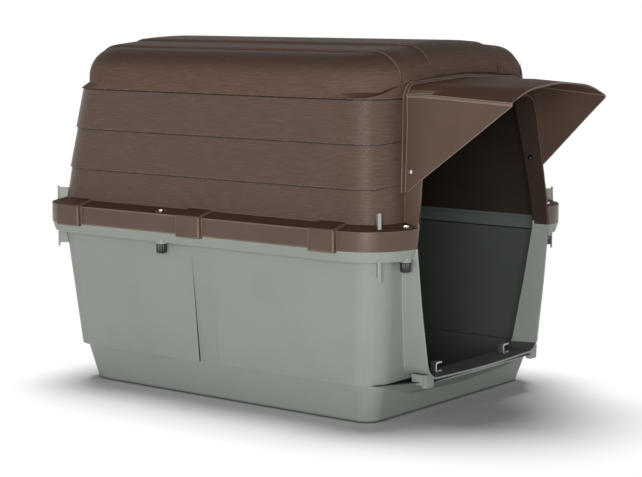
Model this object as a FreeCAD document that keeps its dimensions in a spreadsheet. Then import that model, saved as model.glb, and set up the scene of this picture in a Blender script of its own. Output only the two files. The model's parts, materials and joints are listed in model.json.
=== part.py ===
import FreeCAD, Part
import math
import os
import Sketcher
from FreeCAD import Placement, Rotation, Vector

# Two-shell plastic dog house: a tub with a doorway, a lapped-board lid, a visor over the
# door, and bolts through the joint flange drawn up by knurled nuts from below.
# Millimetres. +Z up, doorway towards -Y, origin on the floor under the middle.

doc = FreeCAD.newDocument("dog_house")
sheet = doc.addObject("Spreadsheet::Sheet", "sizes")

SIZES = [
    # walls and joint
    ("wall", 4.0, "thickness of both moulded shells"),
    ("joint_height", 364.0, "outside joint line between tub and lid"),
    ("flange_half_width", 375.0, "joint flange, outer face across"),
    ("flange_half_length", 485.0, "joint flange, outer face along"),
    ("flange_corner", 107.0, "joint flange corner radius"),
    ("flange_reach", 35.0, "how far the flange stands out from the wall"),
    ("flange_drop", 22.0, "height of the tub's share of the flange"),
    ("flange_draft", 7.0, "how far the tub's flange face leans in at its foot"),
    ("flange_rise", 40.0, "height of the lid's share of the flange"),
    ("flange_crown", 10.0, "rise of the sloping flange top up to the wall"),
    ("tongue_rise", 7.0, "tub wall standing up inside the lid's flange"),
    ("tongue_step", 0.8, "how much thicker the tongue is than the wall below it"),
    ("joint_clearance", 0.5, "gap over the tongue and round it"),
    # tub
    ("foot_height", 82.0, "ledge under the tub's side panels"),
    ("foot_inset", 25.0, "lean of the tub's wall down to the ledge"),
    ("ledge_step", 8.0, "how far the skirt stands in under the ledge"),
    ("skirt_inset", 17.0, "lean of the skirt down to the floor"),
    ("skirt_front_inset", 24.0, "lean of the skirt below the doorway"),
    ("skirt_corner", 62.0, "rear corners of the foot, seen from above"),
    ("skirt_front_corner", 40.0, "front corners of the foot, seen from above"),
    ("skirt_front_step", 3.0, "how far the skirt stands in under the ledge at the front"),
    ("tub_corner", 58.0, "upright corners of the tub, seen from above"),
    ("apron_foot", 45.0, "lowest point of the apron under the sill"),
    ("apron_spread", 302.0, "half width of the apron where it meets the wall"),
    ("board_front_lap", 0.3, "how far a board's lower edge stands out on the front"),
    ("floor_edge", 12.0, "rounding of the tub's lower edge"),
    ("floor_thickness", 5.0, "tub floor"),
    ("band_width", 60.0, "shallow upright recess in each long side"),
    ("band_centre", 11.0, "place of that recess along the side"),
    ("band_top", 318.0, "height where the recess starts"),
    # lid
    ("eave_height", 660.0, "underside of the roof's edge boards"),
    ("eave_inset", 25.0, "lean of the lid's wall up to the eave"),
    ("board_pitch", 88.5, "height of one lapped board"),
    ("board_lap", 3.0, "how far a board's lower edge stands proud"),
    ("roof_height", 776.5, "line of the ridge board before its rounding"),
    ("roof_fall", 25.0, "fall of the roof from ridge to shoulder"),
    ("roof_shoulder", 66.0, "rounding of the roof's top edge all round"),
    ("roof_corner", 130.0, "corners of the roof, seen from above"),
    ("eave_corner", 82.0, "corners of the lid's wall at the eave, seen from above"),
    ("shoulder_rise", 14.0, "height of the small slopes between wall and roof corners"),
    ("ridge_radius", 1500.0, "rounding of the roof's ridge line"),
    ("roof_front_proud", 6.0, "how far the roof stands proud of the front wall"),
    ("roof_step", 4.0, "thickness of each raised roof board"),
    ("roof_board_outer", 225.0, "half width of the wide raised board"),
    ("roof_board_inner", 125.0, "half width of the ridge board"),
    ("arch_rise", 46.0, "height of the brow over the door above the eave"),
    ("arch_half_width", 290.0, "where the brow starts to rise from the eave"),
    # doorway
    ("door_half_width", 250.0, "half width of the doorway at the joint"),
    ("door_low_width", 234.0, "half width of the doorway half way down"),
    ("door_foot_width", 205.0, "half width at the foot, before its corners"),
    ("door_low_height", 245.0, "height of the middle width"),
    ("door_sill", 88.0, "height of the sill in the middle"),
    ("door_sill_side", 93.0, "height of the sill at its ends"),
    ("door_foot_corner", 34.0, "radius of the lower corners"),
    ("door_mid_width", 233.0, "half width where the visor begins"),
    ("door_mid_height", 478.0, "height of that width"),
    ("door_high_width", 208.0, "half width near the top"),
    ("door_high_height", 610.0, "height of that width"),
    ("door_top_width", 197.0, "half width at the top, before its corners"),
    ("door_top", 651.0, "height of the doorway's head"),
    ("door_top_corner", 38.0, "radius of the upper corners"),
    ("frame_wall", 4.0, "thickness of the tube that frames the doorway"),
    ("frame_lean", 12.0, "how far the frame's front edge leans back at its head"),
    # side blocks and their pockets
    ("block_length", 66.0, "raised block on the lid's flange"),
    ("block_proud", 10.0, "how far a block stands out"),
    ("block_overhang", 4.0, "how far a block hangs below the joint"),
    ("block_rise", 4.0, "how far a block stands above the flange"),
    ("block_middle", 11.0, "place of the middle block along the side"),
    ("block_spacing", 354.0, "distance from the middle to the end blocks"),
    ("pocket_depth", 3.0, "recess in the tub's flange under a block"),
    # corner fins
    ("fin_half_width", 330.0, "outer edge of the corner fins, across"),
    ("fin_half_length", 449.5, "outer edge of the corner fins, along"),
    ("fin_thickness", 4.0, "web of a corner fin"),
    ("fin_bar", 7.0, "width of the bar along a fin's edge"),
    ("fin_bar_depth", 4.0, "depth of that bar"),
    ("fin_top", 436.0, "top of the lid's fins"),
    ("fin_bottom", 310.0, "bottom of the tub's fins"),
    ("fin_bar_extra", 8.0, "how much longer the bar is than the web"),
    # flange bolts and knurled nuts
    ("bolt_radius", 3.0, "shank of a flange bolt"),
    ("bolt_hole_clearance", 0.4, "radial gap round a shank in the shells"),
    ("bolt_head_radius", 6.5, "head of a flange bolt"),
    ("bolt_head_height", 4.0, "height of that head"),
    ("bolt_edge", 15.0, "distance of a bolt from the flange's outer face"),
    ("bolt_side", 105.0, "place of the side bolts along the length"),
    ("bolt_end", 270.0, "place of the front and rear bolts across"),
    ("spot_face", 4.0, "rise of the flat pad under a bolt head"),
    ("post_half_width", 8.5, "half width of the post round a bolt inside the lid's flange"),
    ("boss_radius", 12.0, "boss round a bolt"),
    ("boss_depth", 26.0, "depth of the tub's boss below the joint"),
    ("nut_radius", 11.5, "knurled nut over its ridges"),
    ("nut_height", 20.0, "height of a knurled nut"),
    ("nut_cap", 4.0, "closed end of a knurled nut"),
    ("nut_rib", 1.0, "depth of the grooves in the knurl"),
    ("nut_gap", 0.3, "gap between a nut and its boss"),
    ("nut_clearance", 0.06, "radial running gap of a nut on its bolt"),
    # visor
    ("visor_wall", 3.0, "thickness of the visor"),
    ("visor_gap", 0.4, "gap between the visor and the shell"),
    ("visor_foot", 474.0, "lower edge of the visor's cheeks"),
    ("visor_crease", 666.0, "height of the crease at the wall"),
    ("visor_heel", 453.0, "where the cheeks' slanted edge starts, from the middle"),
    ("visor_crease_width", 206.5, "half width inside the crease at the wall"),
    ("visor_crown", 693.0, "height inside the visor's crown at the wall"),
    ("visor_shoulder", 25.0, "rounding between the visor's top and its cheeks at the wall"),
    ("visor_ridge_radius", 600.0, "rounding of the visor's top line"),
    ("visor_reach", 660.0, "distance of the visor's tips from the middle"),
    ("visor_tip_width", 181.0, "half width inside the tips"),
    ("visor_tip_height", 655.0, "height of the tips"),
    ("visor_tip_crown", 690.0, "height inside the crown at the front edge"),
    ("visor_lip", 12.0, "edge flange that lies on the wall beside the cheeks"),
    ("visor_brow", 5.0, "edge flange that stands up behind the crown"),
    ("visor_bead", 2.0, "radius of the bead along each crease"),
    # visor fasteners
    ("cheek_bolt_radius", 2.5, "shank of a visor bolt"),
    ("cheek_bolt_head", 5.5, "radius of its dome head"),
    ("cheek_bolt_height", 514.0, "height of the visor bolts"),
    ("cheek_bolt_setback", 32.0, "visor bolts behind the frame's front edge"),
    ("dome_nut_height", 9.0, "height of the dome nuts on the visor bolts"),
    # sill catches
    ("catch_spacing", 130.0, "place of the two sill catches across"),
    ("catch_width", 22.0, "outside width of a catch"),
    ("catch_height", 22.0, "height of a catch over the sill"),
    ("catch_depth", 14.0, "depth of a catch along the length"),
    ("catch_wall", 4.0, "material thickness of a catch"),
    ("lug_wide", 28.0, "width of the front lugs below the frame"),
    ("lug_narrow", 12.0, "width of the side lugs below the frame"),
    ("lug_height", 20.0, "height of a lug"),
]

for row, (alias, value, note) in enumerate(SIZES, start=1):
    sheet.set("A%d" % row, note)
    sheet.set("B%d" % row, str(value))
    sheet.setAlias("B%d" % row, alias)
doc.recompute()


class Measure:
    """A length with its value now and the sheet expression that keeps it bound."""

    def __init__(self, value, text):
        self.value = value
        self.text = text

    def __add__(self, other):
        other = measure(other)
        return Measure(self.value + other.value, "(%s + %s)" % (self.text, other.text))

    def __radd__(self, other):
        return measure(other) + self

    def __sub__(self, other):
        other = measure(other)
        return Measure(self.value - other.value, "(%s - %s)" % (self.text, other.text))

    def __rsub__(self, other):
        return measure(other) - self

    def __mul__(self, other):
        other = measure(other)
        return Measure(self.value * other.value, "(%s * %s)" % (self.text, other.text))

    def __rmul__(self, other):
        return measure(other) * self

    def __truediv__(self, other):
        other = measure(other)
        return Measure(self.value / other.value, "(%s / %s)" % (self.text, other.text))

    def __neg__(self):
        return measure(0.0) - self


def measure(number):
    """Wrap a plain number as a Measure."""
    if isinstance(number, Measure):
        return number
    return Measure(float(number), "(%.6f)" % number)


def named(alias):
    """The sheet's value of that name."""
    return Measure(float(sheet.get(alias)), "sizes." + alias)


S = {alias: named(alias) for alias, _, _ in SIZES}

# ---------------------------------------------------------------- worked-out sizes

wall = S["wall"]
joint = S["joint_height"]
wall_half_width = S["flange_half_width"] - S["flange_reach"]
wall_half_length = S["flange_half_length"] - S["flange_reach"]
wall_corner = S["flange_corner"] - S["flange_reach"]
flange_top = joint + S["flange_rise"]
flange_inner_top = flange_top + S["flange_crown"]
eave = S["eave_height"]
eave_half_width = wall_half_width - S["eave_inset"]
eave_half_length = wall_half_length - S["eave_inset"]
frame_front = S["flange_half_length"] + 1.0


def lid_inset(height):
    """Lean of the lid's wall at a height above the flange."""
    return S["eave_inset"] * (height - flange_inner_top) / (eave - flange_inner_top)


def lid_corner(height):
    """Corner radius of the lid's wall at a height above the flange."""
    growth = S["eave_corner"] - wall_corner
    return wall_corner + growth * (height - flange_inner_top) / (eave - flange_inner_top)


def tub_inset(height):
    """Lean of the tub's wall at a height below the joint."""
    return S["foot_inset"] * (joint - height) / (joint - S["foot_height"])


# ---------------------------------------------------------------- sketch helpers


def new_body(name):
    """An empty body."""
    return doc.addObject("PartDesign::Body", name)


def new_sketch(body, name, role, offset):
    """A sketch on one of the body's origin planes, moved along the plane's normal."""
    sketch = body.newObject("Sketcher::SketchObject", name)
    planes = {feature.Role: feature for feature in body.Origin.OriginFeatures}
    sketch.AttachmentSupport = [(planes[role], "")]
    sketch.MapMode = "FlatFace"
    offset = measure(offset)
    sketch.AttachmentOffset = Placement(Vector(0, 0, offset.value), Rotation())
    sketch.setExpression(".AttachmentOffset.Base.z", offset.text)
    return sketch


def corner_tangents(before, corner, after, radius):
    """Where an arc of that radius leaves and meets the two sides of a corner."""
    towards_before = (before - corner).normalize()
    towards_after = (after - corner).normalize()
    half = towards_before.getAngle(towards_after) / 2.0
    reach = radius / math.tan(half)
    middle = (towards_before + towards_after).normalize()
    centre = corner + middle * (radius / math.sin(half))
    return corner + towards_before * reach, corner + towards_after * reach, centre


def place(sketch, geometry, point, x, y):
    """Hold a point of the sketch at a distance from its origin."""
    for kind, distance in (("DistanceX", x), ("DistanceY", y)):
        rule = sketch.addConstraint(Sketcher.Constraint(kind, -1, 1, geometry, point, distance.value))
        sketch.setExpression("Constraints[%d]" % rule, distance.text)


def draw_outline(sketch, corners):
    """A closed outline: corners (x, y, radius), radius None where the corner is sharp."""
    corners = [(measure(x), measure(y), radius) for x, y, radius in corners]
    count = len(corners)
    points = [Vector(x.value, y.value, 0) for x, y, _ in corners]
    entry, leave, centres = [], [], []
    for index, (_, _, radius) in enumerate(corners):
        if radius is None:
            entry.append(points[index])
            leave.append(points[index])
            centres.append(None)
        else:
            first, second, centre = corner_tangents(
                points[index - 1], points[index], points[(index + 1) % count], measure(radius).value)
            entry.append(first)
            leave.append(second)
            centres.append(centre)
    lines = []
    for index in range(count):
        end = entry[(index + 1) % count]
        lines.append(sketch.addGeometry(Part.LineSegment(leave[index], end)))
    for index, (x, y, radius) in enumerate(corners):
        before, after = lines[index - 1], lines[index]
        if radius is None:
            sketch.addConstraint(Sketcher.Constraint("Coincident", before, 2, after, 1))
            place(sketch, after, 1, x, y)
            continue
        radius = measure(radius)
        centre = centres[index]
        spokes = [entry[index] - centre, leave[index] - centre]
        angles = [math.atan2(spoke.y, spoke.x) for spoke in spokes]
        turns_left = (entry[index] - points[index]).cross(leave[index] - points[index]).z < 0
        start, stop = angles if turns_left else reversed(angles)
        circle = Part.Circle(centre, Vector(0, 0, 1), radius.value)
        arc = sketch.addGeometry(Part.ArcOfCircle(circle, start, stop))
        ends = (1, 2) if turns_left else (2, 1)
        mark = sketch.addGeometry(Part.Point(points[index]), True)
        sketch.addConstraint(Sketcher.Constraint("Tangent", before, 2, arc, ends[0]))
        sketch.addConstraint(Sketcher.Constraint("Tangent", arc, ends[1], after, 1))
        sketch.addConstraint(Sketcher.Constraint("PointOnObject", mark, 1, before))
        sketch.addConstraint(Sketcher.Constraint("PointOnObject", mark, 1, after))
        place(sketch, mark, 1, x, y)
        rule = sketch.addConstraint(Sketcher.Constraint("Radius", arc, radius.value))
        sketch.setExpression("Constraints[%d]" % rule, radius.text)
    return sketch


def plan(body, name, height, half_width, front, rear, front_corner, rear_corner=None):
    """A rounded rectangle seen from above, at a height."""
    if rear_corner is None:
        rear_corner = front_corner
    corners = [(-half_width, -front, front_corner), (half_width, -front, front_corner),
               (half_width, rear, rear_corner), (-half_width, rear, rear_corner)]
    return draw_outline(new_sketch(body, name, "XY_Plane", height), corners)


def loft(body, name, sections, kind="PartDesign::AdditiveLoft"):
    """Straight-sided loft through sketches."""
    feature = body.newObject(kind, name)
    feature.Profile = sections[0]
    feature.Sections = sections[1:]
    feature.Ruled = True
    feature.Refine = False
    body.Tip = feature
    return feature


def pad(body, name, sketch, length, backwards=False, both_ways=False):
    """Pad a sketch, along its normal, against it or both ways."""
    feature = body.newObject("PartDesign::Pad", name)
    feature.Profile = sketch
    length = measure(length)
    feature.Length = length.value
    feature.setExpression("Length", length.text)
    feature.Reversed = backwards
    feature.Midplane = both_ways
    body.Tip = feature
    return feature


def round_edges(body, name, radius, chosen):
    """Fillet the edges of the body's tip that the test picks."""
    doc.recompute()
    base = body.Tip
    picked = ["Edge%d" % number for number, edge in enumerate(base.Shape.Edges, start=1)
              if chosen(edge.BoundBox)]
    if not picked:
        raise RuntimeError("no edge to round for " + name)
    feature = body.newObject("PartDesign::Fillet", name)
    feature.Base = (base, picked)
    feature.Refine = False
    radius = measure(radius)
    feature.Radius = radius.value
    feature.setExpression("Radius", radius.text)
    body.Tip = feature
    return feature


def pocket(body, name, sketch, length):
    """Cut a sketch through the body both ways."""
    feature = body.newObject("PartDesign::Pocket", name)
    feature.Profile = sketch
    length = measure(length)
    feature.Length = length.value
    feature.setExpression("Length", length.text)
    feature.Midplane = True
    body.Tip = feature
    return feature


def tapered_block(name, heights, half_widths, fronts, rears, front_corner, rear_corner):
    """A block with leaning flat sides and rounded upright corners, given low then high."""
    body = new_body(name)
    low, high = [measure(height) for height in heights]
    (low_width, high_width), (low_front, high_front), (low_rear, high_rear) = half_widths, fronts, rears
    sides = draw_outline(new_sketch(body, name + "_sides", "XZ_Plane", 0.0), [
        (-low_width, low, None), (low_width, low, None), (high_width, high, None),
        (-high_width, high, None)])
    reach = S["flange_half_length"]
    pad(body, name + "_pad", sides, reach * 2.0, both_ways=True)
    ends = new_sketch(body, name + "_ends", "YZ_Plane", 0.0)
    for way, low_end, high_end in ((-1.0, low_front, high_front), (1.0, low_rear, high_rear)):
        draw_outline(ends, [(way * low_end, low, None), (way * (reach + 10.0), low, None),
                            (way * (reach + 10.0), high, None), (way * high_end, high, None)])
    pocket(body, name + "_end_cuts", ends, reach * 2.0)
    height = high.value - low.value
    for tag, radius, at_front in (("front", front_corner, True), ("rear", rear_corner, False)):
        round_edges(body, name + "_" + tag + "_corners", radius,
                    lambda bounds: bounds.ZLength > height - 0.01 and (bounds.YMax < 0.0) == at_front)
    return body


def fuse(name, shapes):
    """Union of several objects."""
    feature = doc.addObject("Part::MultiFuse", name)
    feature.Shapes = shapes
    return feature


def cut(name, base, tool):
    """One object less another."""
    feature = doc.addObject("Part::Cut", name)
    feature.Base = base
    feature.Tool = tool
    return feature


def common(name, first, second):
    """What two objects share."""
    feature = doc.addObject("Part::MultiCommon", name)
    feature.Shapes = [first, second]
    return feature


def cylinder(name, radius, height, base, axis=Vector(0, 0, 1)):
    """A round bar from a point along an axis, its place bound to the sheet."""
    feature = doc.addObject("Part::Cylinder", name)
    radius, height = measure(radius), measure(height)
    feature.setExpression("Radius", radius.text)
    feature.setExpression("Height", height.text)
    stand(feature, base, Rotation(Vector(0, 0, 1), axis))
    return feature


def box(name, low, extent, rotation=Rotation()):
    """A block from its low corner, its place and size bound to the sheet."""
    feature = doc.addObject("Part::Box", name)
    for axis_name, length in zip(("Length", "Width", "Height"), extent):
        feature.setExpression(axis_name, measure(length).text)
    stand(feature, low, rotation)
    return feature


def stand(feature, base, rotation):
    """Give an object its place."""
    base = [measure(value) for value in base]
    feature.Placement = Placement(Vector(*[value.value for value in base]), rotation)
    for axis_name, value in zip("xyz", base):
        feature.setExpression(".Placement.Base." + axis_name, value.text)


SIDES = (("left", -1.0), ("right", 1.0))
ENDS = (("front", -1.0), ("rear", 1.0))

# ---------------------------------------------------------------- doorway outlines


def lower_doorway(body, name, offset, grow):
    """Outline of the doorway below the joint, grown by a wall."""
    half = [(S["door_half_width"] + grow, joint, None),
            (S["door_low_width"] + grow, S["door_low_height"], 600.0),
            (S["door_foot_width"] + grow, S["door_sill_side"] - grow, S["door_foot_corner"] + grow)]
    right = [(x, z, radius) for x, z, radius in reversed(half)]
    left = [(-x, z, radius) for x, z, radius in half]
    sill = [(0.0, S["door_sill"] - grow, 3000.0)]
    return draw_outline(new_sketch(body, name, "XZ_Plane", offset), left + sill + right)


def upper_doorway(body, name, offset, grow):
    """Outline of the doorway above the joint, grown by a wall."""
    half = [(S["door_half_width"] + grow, joint, None),
            (S["door_mid_width"] + grow, S["door_mid_height"], 500.0),
            (S["door_high_width"] + grow, S["door_high_height"], 250.0),
            (S["door_top_width"] + grow, S["door_top"] + grow, S["door_top_corner"] + grow)]
    left = [(-x, z, radius) for x, z, radius in reversed(half)]
    right = [(x, z, radius) for x, z, radius in half]
    head = [(0.0, S["door_top"] + grow + 3.0, 4000.0)]
    return draw_outline(new_sketch(body, name, "XZ_Plane", offset), left[::-1] + head + right[::-1])


# ---------------------------------------------------------------- tub

foot = S["foot_height"]
foot_half_width = wall_half_width - S["foot_inset"]
foot_half_length = wall_half_length - S["foot_inset"]
skirt_half_width = foot_half_width - S["ledge_step"]
skirt_rear = foot_half_length - S["ledge_step"]
skirt_front = foot_half_length - S["skirt_front_step"]


def skirt_block(name, inward, low, shelf):
    """The tub's foot below the ledge, or with a wall inward its hollow."""
    return tapered_block(
        name, (low, shelf),
        (skirt_half_width - S["skirt_inset"] - inward, skirt_half_width - inward),
        (skirt_front - S["skirt_front_inset"] - inward, skirt_front - inward),
        (skirt_rear - S["skirt_inset"] - inward, skirt_rear - inward),
        S["skirt_front_corner"] - inward, S["skirt_corner"] - inward)


def panel_block(name, inward, shelf, high):
    """The tub's walls from the ledge to the joint, or with a wall inward their hollow."""
    return tapered_block(
        name, (shelf, high), (foot_half_width - inward, wall_half_width - inward),
        (foot_half_length - inward, wall_half_length - inward),
        (foot_half_length - inward, wall_half_length - inward),
        S["tub_corner"] - inward, S["tub_corner"] - inward)


none = measure(0.0)
skirt_outer = skirt_block("skirt_outer", none, none, foot)
round_edges(skirt_outer, "skirt_outer_floor_edge", S["floor_edge"],
            lambda bounds: bounds.ZMax < 0.01)
skirt_hollow = skirt_block("skirt_hollow", wall, S["floor_thickness"], foot + wall)
panels_outer = panel_block("panels_outer", none, foot, joint)
panels_hollow = panel_block("panels_hollow", wall, foot + wall, joint)

tongue = new_body("tongue")
pad(tongue, "tongue_pad",
    plan(tongue, "tongue_plan", joint - wall, wall_half_width, wall_half_length, wall_half_length,
         S["tub_corner"]), S["tongue_rise"] + wall)
tongue_hollow = new_body("tongue_hollow")
tongue_wall = wall + S["tongue_step"]
pad(tongue_hollow, "tongue_hollow_pad",
    plan(tongue_hollow, "tongue_hollow_plan", joint - wall / 2.0, wall_half_width - tongue_wall,
         wall_half_length - tongue_wall, wall_half_length - tongue_wall, S["tub_corner"] - wall),
    S["tongue_rise"] + wall)


def flange_plan(body, name, height, inward):
    """Outline of the joint flange, drawn inward by a distance."""
    return plan(body, name, height, S["flange_half_width"] - inward, S["flange_half_length"] - inward,
                S["flange_half_length"] - inward, S["flange_corner"] - inward)


tub_flange = new_body("tub_flange")
flange_foot = joint - S["flange_drop"]
loft(tub_flange, "tub_flange_form",
     [flange_plan(tub_flange, "tub_flange_foot", flange_foot, S["flange_draft"]),
      flange_plan(tub_flange, "tub_flange_top", joint, none)])
loft(tub_flange, "tub_flange_underside",
     [flange_plan(tub_flange, "tub_flange_foot_in", flange_foot, S["flange_draft"] + wall),
      flange_plan(tub_flange, "tub_flange_top_in", joint - wall, wall)],
     "PartDesign::SubtractiveLoft")

lower_frame = new_body("lower_frame")
frame_depth = frame_front - foot_half_length + wall * 2.0
pad(lower_frame, "lower_frame_pad",
    lower_doorway(lower_frame, "lower_frame_outline", frame_front, S["frame_wall"]),
    frame_depth, backwards=True)
lower_opening = new_body("lower_opening")
pad(lower_opening, "lower_opening_pad",
    lower_doorway(lower_opening, "lower_opening_outline", frame_front + 40.0, none),
    frame_depth + 60.0, backwards=True)

# The front wall bulges out under the sill, from a low curved ledge up to the frame's lip.
apron_top = S["door_sill"] - S["frame_wall"] + 0.5


def apron_section(body, name, offset, half_width, foot, inner_width, inner_foot):
    """One upright section of the apron: level on top, bowed below."""
    return draw_outline(new_sketch(body, name, "XZ_Plane", offset), [
        (-half_width, apron_top, None), (half_width, apron_top, None), (inner_width, inner_foot, 90.0),
        (0.0, foot, 500.0), (-inner_width, inner_foot, 90.0)])


def apron(name, inward, front, back):
    """The apron's outer form, or with a wall inward its hollow."""
    body = new_body(name)
    lip = apron_top - 3.5 - inward
    spread = S["apron_spread"] - inward * 2.0
    foot_low = S["apron_foot"] + inward
    sections = [
        apron_section(body, name + "_lip", front, S["door_foot_width"] - 18.0 - inward * 2.0, lip,
                      S["door_foot_width"] * 0.6, lip + 1.0),
        apron_section(body, name + "_wall", skirt_front - inward, spread, foot_low, spread * 0.63,
                      foot_low + 7.0),
        apron_section(body, name + "_back", back, spread, foot_low, spread * 0.63, foot_low + 7.0)]
    loft(body, name + "_form", sections)
    return body


apron_outer = apron("apron_outer", none, frame_front, skirt_front - 25.0)
apron_hollow = apron("apron_hollow", wall, frame_front - wall * 3.0, skirt_front - 60.0)


def side_band(name, inward, sign):
    """Tapered recess in a long side: flush with the wall at its top, with the skirt below."""
    body = new_body(name)
    top_x = wall_half_width - tub_inset(S["band_top"]) - inward
    low_x = skirt_half_width - inward
    far_x = wall_half_width + 20.0
    shelf = foot + inward
    corners = [(sign * top_x, S["band_top"], None), (sign * low_x, shelf, None),
               (sign * far_x, shelf, None), (sign * far_x, S["band_top"], None)]
    sketch = new_sketch(body, name + "_profile", "XZ_Plane", -S["band_centre"])
    draw_outline(sketch, corners)
    pad(body, name + "_pad", sketch, S["band_width"] + inward * 2.0, both_ways=True)
    return body


bands = [side_band("band_" + side, none, sign) for side, sign in SIDES]
band_backs = [side_band("band_back_" + side, wall, sign) for side, sign in SIDES]

# ---------------------------------------------------------------- places of the bolts

bolt_x = S["flange_half_width"] - S["bolt_edge"]
bolt_y = S["flange_half_length"] - S["bolt_edge"]
BOLTS = [(end + "_" + side, sign * S["bolt_end"], way * bolt_y)
         for end, way in ENDS for side, sign in SIDES]
BOLTS += [("side_" + side, sign * bolt_x, S["bolt_side"]) for side, sign in SIDES]
boss_foot = joint - S["boss_depth"]
head_seat = flange_top + S["spot_face"]

tub_bosses = [cylinder("tub_boss_" + name, S["boss_radius"], S["boss_depth"], (x, y, boss_foot))
              for name, x, y in BOLTS]
bolt_holes = [cylinder("bolt_hole_" + name, S["bolt_radius"] + S["bolt_hole_clearance"],
                       head_seat - boss_foot + 20.0, (x, y, boss_foot - 10.0))
              for name, x, y in BOLTS]


def corner_fins(name, low, high, bar_low, bar_high, root_inset):
    """Upright fins on the four corners, each with a bar along its outer edge."""
    pieces = []
    for end, way in ENDS:
        for side, sign in SIDES:
            centre_x = sign * (wall_half_width - wall_corner).value
            centre_y = way * (wall_half_length - wall_corner).value
            edge_x = sign * S["fin_half_width"].value
            edge_y = way * S["fin_half_length"].value
            turn = Rotation(Vector(1, 0, 0), Vector(edge_x - centre_x, edge_y - centre_y, 0))
            reach = math.hypot(edge_x - centre_x, edge_y - centre_y)
            root = wall_corner.value - root_inset
            for piece, inner, outer, width, bottom, top in (
                    ("web", root, reach, S["fin_thickness"].value, low, high),
                    ("bar", reach - S["fin_bar_depth"].value, reach, S["fin_bar"].value,
                     bar_low, bar_high)):
                local = Vector(inner, -width / 2.0, 0)
                corner = Vector(centre_x, centre_y, 0) + turn.multVec(local)
                pieces.append(box("%s_%s_%s_%s" % (name, piece, end, side),
                                  (corner.x, corner.y, bottom),
                                  (outer - inner, width, top - bottom), turn))
    return pieces


tub_fins = corner_fins("tub_fin", S["fin_bottom"], joint - wall, S["fin_bottom"] - S["fin_bar_extra"],
                       joint - wall, 3.0)

# Pockets in the tub's flange under the lid's blocks.
BLOCK_PLACES = [S["block_middle"] + S["block_spacing"] * step for step in (-1.0, 0.0, 1.0)]
pockets = []
for side, sign in SIDES:
    for number, place_y in enumerate(BLOCK_PLACES, start=1):
        low_x = S["flange_half_width"] - S["pocket_depth"]
        start_x = low_x if sign > 0 else -low_x - 20.0
        pockets.append(box("pocket_%s_%d" % (side, number),
                           (start_x, place_y - S["block_length"] / 2.0 + 8.0, flange_foot - 5.0),
                           (20.0, S["block_length"] - 16.0, S["flange_drop"] - 1.0)))

# Small tapered lugs below the frame's lower corners: one at its side, one at its front.
lug_top = S["door_sill_side"] + 8.0
lugs = []
for side, sign in SIDES:
    for place_name, centre, width, front, depth, drop in (
            ("side", S["door_foot_width"] + 6.0, S["lug_narrow"], frame_front - 9.0, 29.0, 6.0),
            ("front", S["door_foot_width"] - 5.0, S["lug_wide"], frame_front - 2.0, 13.0, 0.0)):
        body = new_body("lug_%s_%s" % (place_name, side))
        foot_z = lug_top - S["lug_height"] - 8.0 + drop
        middle = sign * centre
        outline = draw_outline(new_sketch(body, body.Name + "_outline", "XZ_Plane", front), [
            (middle - width / 2.0, lug_top, None), (middle - width / 2.0 + 3.0, foot_z, None),
            (middle + width / 2.0 - 3.0, foot_z, None), (middle + width / 2.0, lug_top, None)])
        pad(body, body.Name + "_pad", outline, depth, backwards=True)
        lugs.append(body)

tub_solid = fuse("tub_solid", [skirt_outer, panels_outer, tub_flange, tongue, lower_frame,
                               apron_outer] + tub_fins + tub_bosses + lugs)
hollow_kept = cut("tub_hollow_kept", fuse("tub_hollow", [skirt_hollow, panels_hollow]),
                  fuse("band_backs_all", band_backs))
doorway_gap = box("doorway_gap", (-S["door_half_width"], -frame_front - 10.0, joint - 1.0),
                  (S["door_half_width"] * 2.0, frame_depth + 20.0, S["tongue_rise"] + 11.0))
tub_voids = fuse("tub_voids", [hollow_kept, tongue_hollow, apron_hollow, lower_opening,
                               doorway_gap] + bands
                 + bolt_holes + pockets)
base_shell = cut("base_shell", tub_solid, tub_voids)

# ---------------------------------------------------------------- lid

lid_walls = new_body("lid_walls")
plain_foot = joint + S["tongue_rise"] + S["joint_clearance"]
board_feet = [flange_inner_top, eave - S["board_pitch"] * 2.0, eave - S["board_pitch"]]
board_tops = board_feet[1:] + [eave]
loft(lid_walls, "lid_wall_foot",
     [plan(lid_walls, "lid_wall_foot_low", plain_foot, wall_half_width, wall_half_length,
           wall_half_length, wall_corner),
      plan(lid_walls, "lid_wall_foot_high", flange_inner_top, wall_half_width, wall_half_length,
           wall_half_length, wall_corner)])
for number, (low, high) in enumerate(zip(board_feet, board_tops), start=1):
    lap = none if number == 1 else S["board_lap"]
    sections = []
    for tag, height, proud in (("low", low, lap), ("high", high, none)):
        inset = lid_inset(height)
        front_proud = proud * S["board_front_lap"] / S["board_lap"]
        sections.append(plan(lid_walls, "board_%d_%s" % (number, tag), height,
                             wall_half_width - inset + proud, wall_half_length - inset + front_proud,
                             wall_half_length - inset + proud, lid_corner(height) + proud / 2.0))
    loft(lid_walls, "board_%d" % number, sections)

lid_flange = new_body("lid_flange")
loft(lid_flange, "lid_flange_face",
     [flange_plan(lid_flange, "lid_flange_foot", joint, none),
      flange_plan(lid_flange, "lid_flange_edge", flange_top, none)])
loft(lid_flange, "lid_flange_slope",
     [flange_plan(lid_flange, "lid_flange_slope_low", flange_top, none),
      flange_plan(lid_flange, "lid_flange_slope_high", flange_inner_top, S["flange_reach"])])
loft(lid_flange, "lid_flange_channel",
     [flange_plan(lid_flange, "lid_flange_channel_foot", joint, wall),
      flange_plan(lid_flange, "lid_flange_channel_edge", flange_top - wall, wall)],
     "PartDesign::SubtractiveLoft")
loft(lid_flange, "lid_flange_channel_slope",
     [flange_plan(lid_flange, "lid_flange_channel_low", flange_top - wall, wall),
      flange_plan(lid_flange, "lid_flange_channel_high", flange_inner_top - wall, S["flange_reach"])],
     "PartDesign::SubtractiveLoft")

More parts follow.
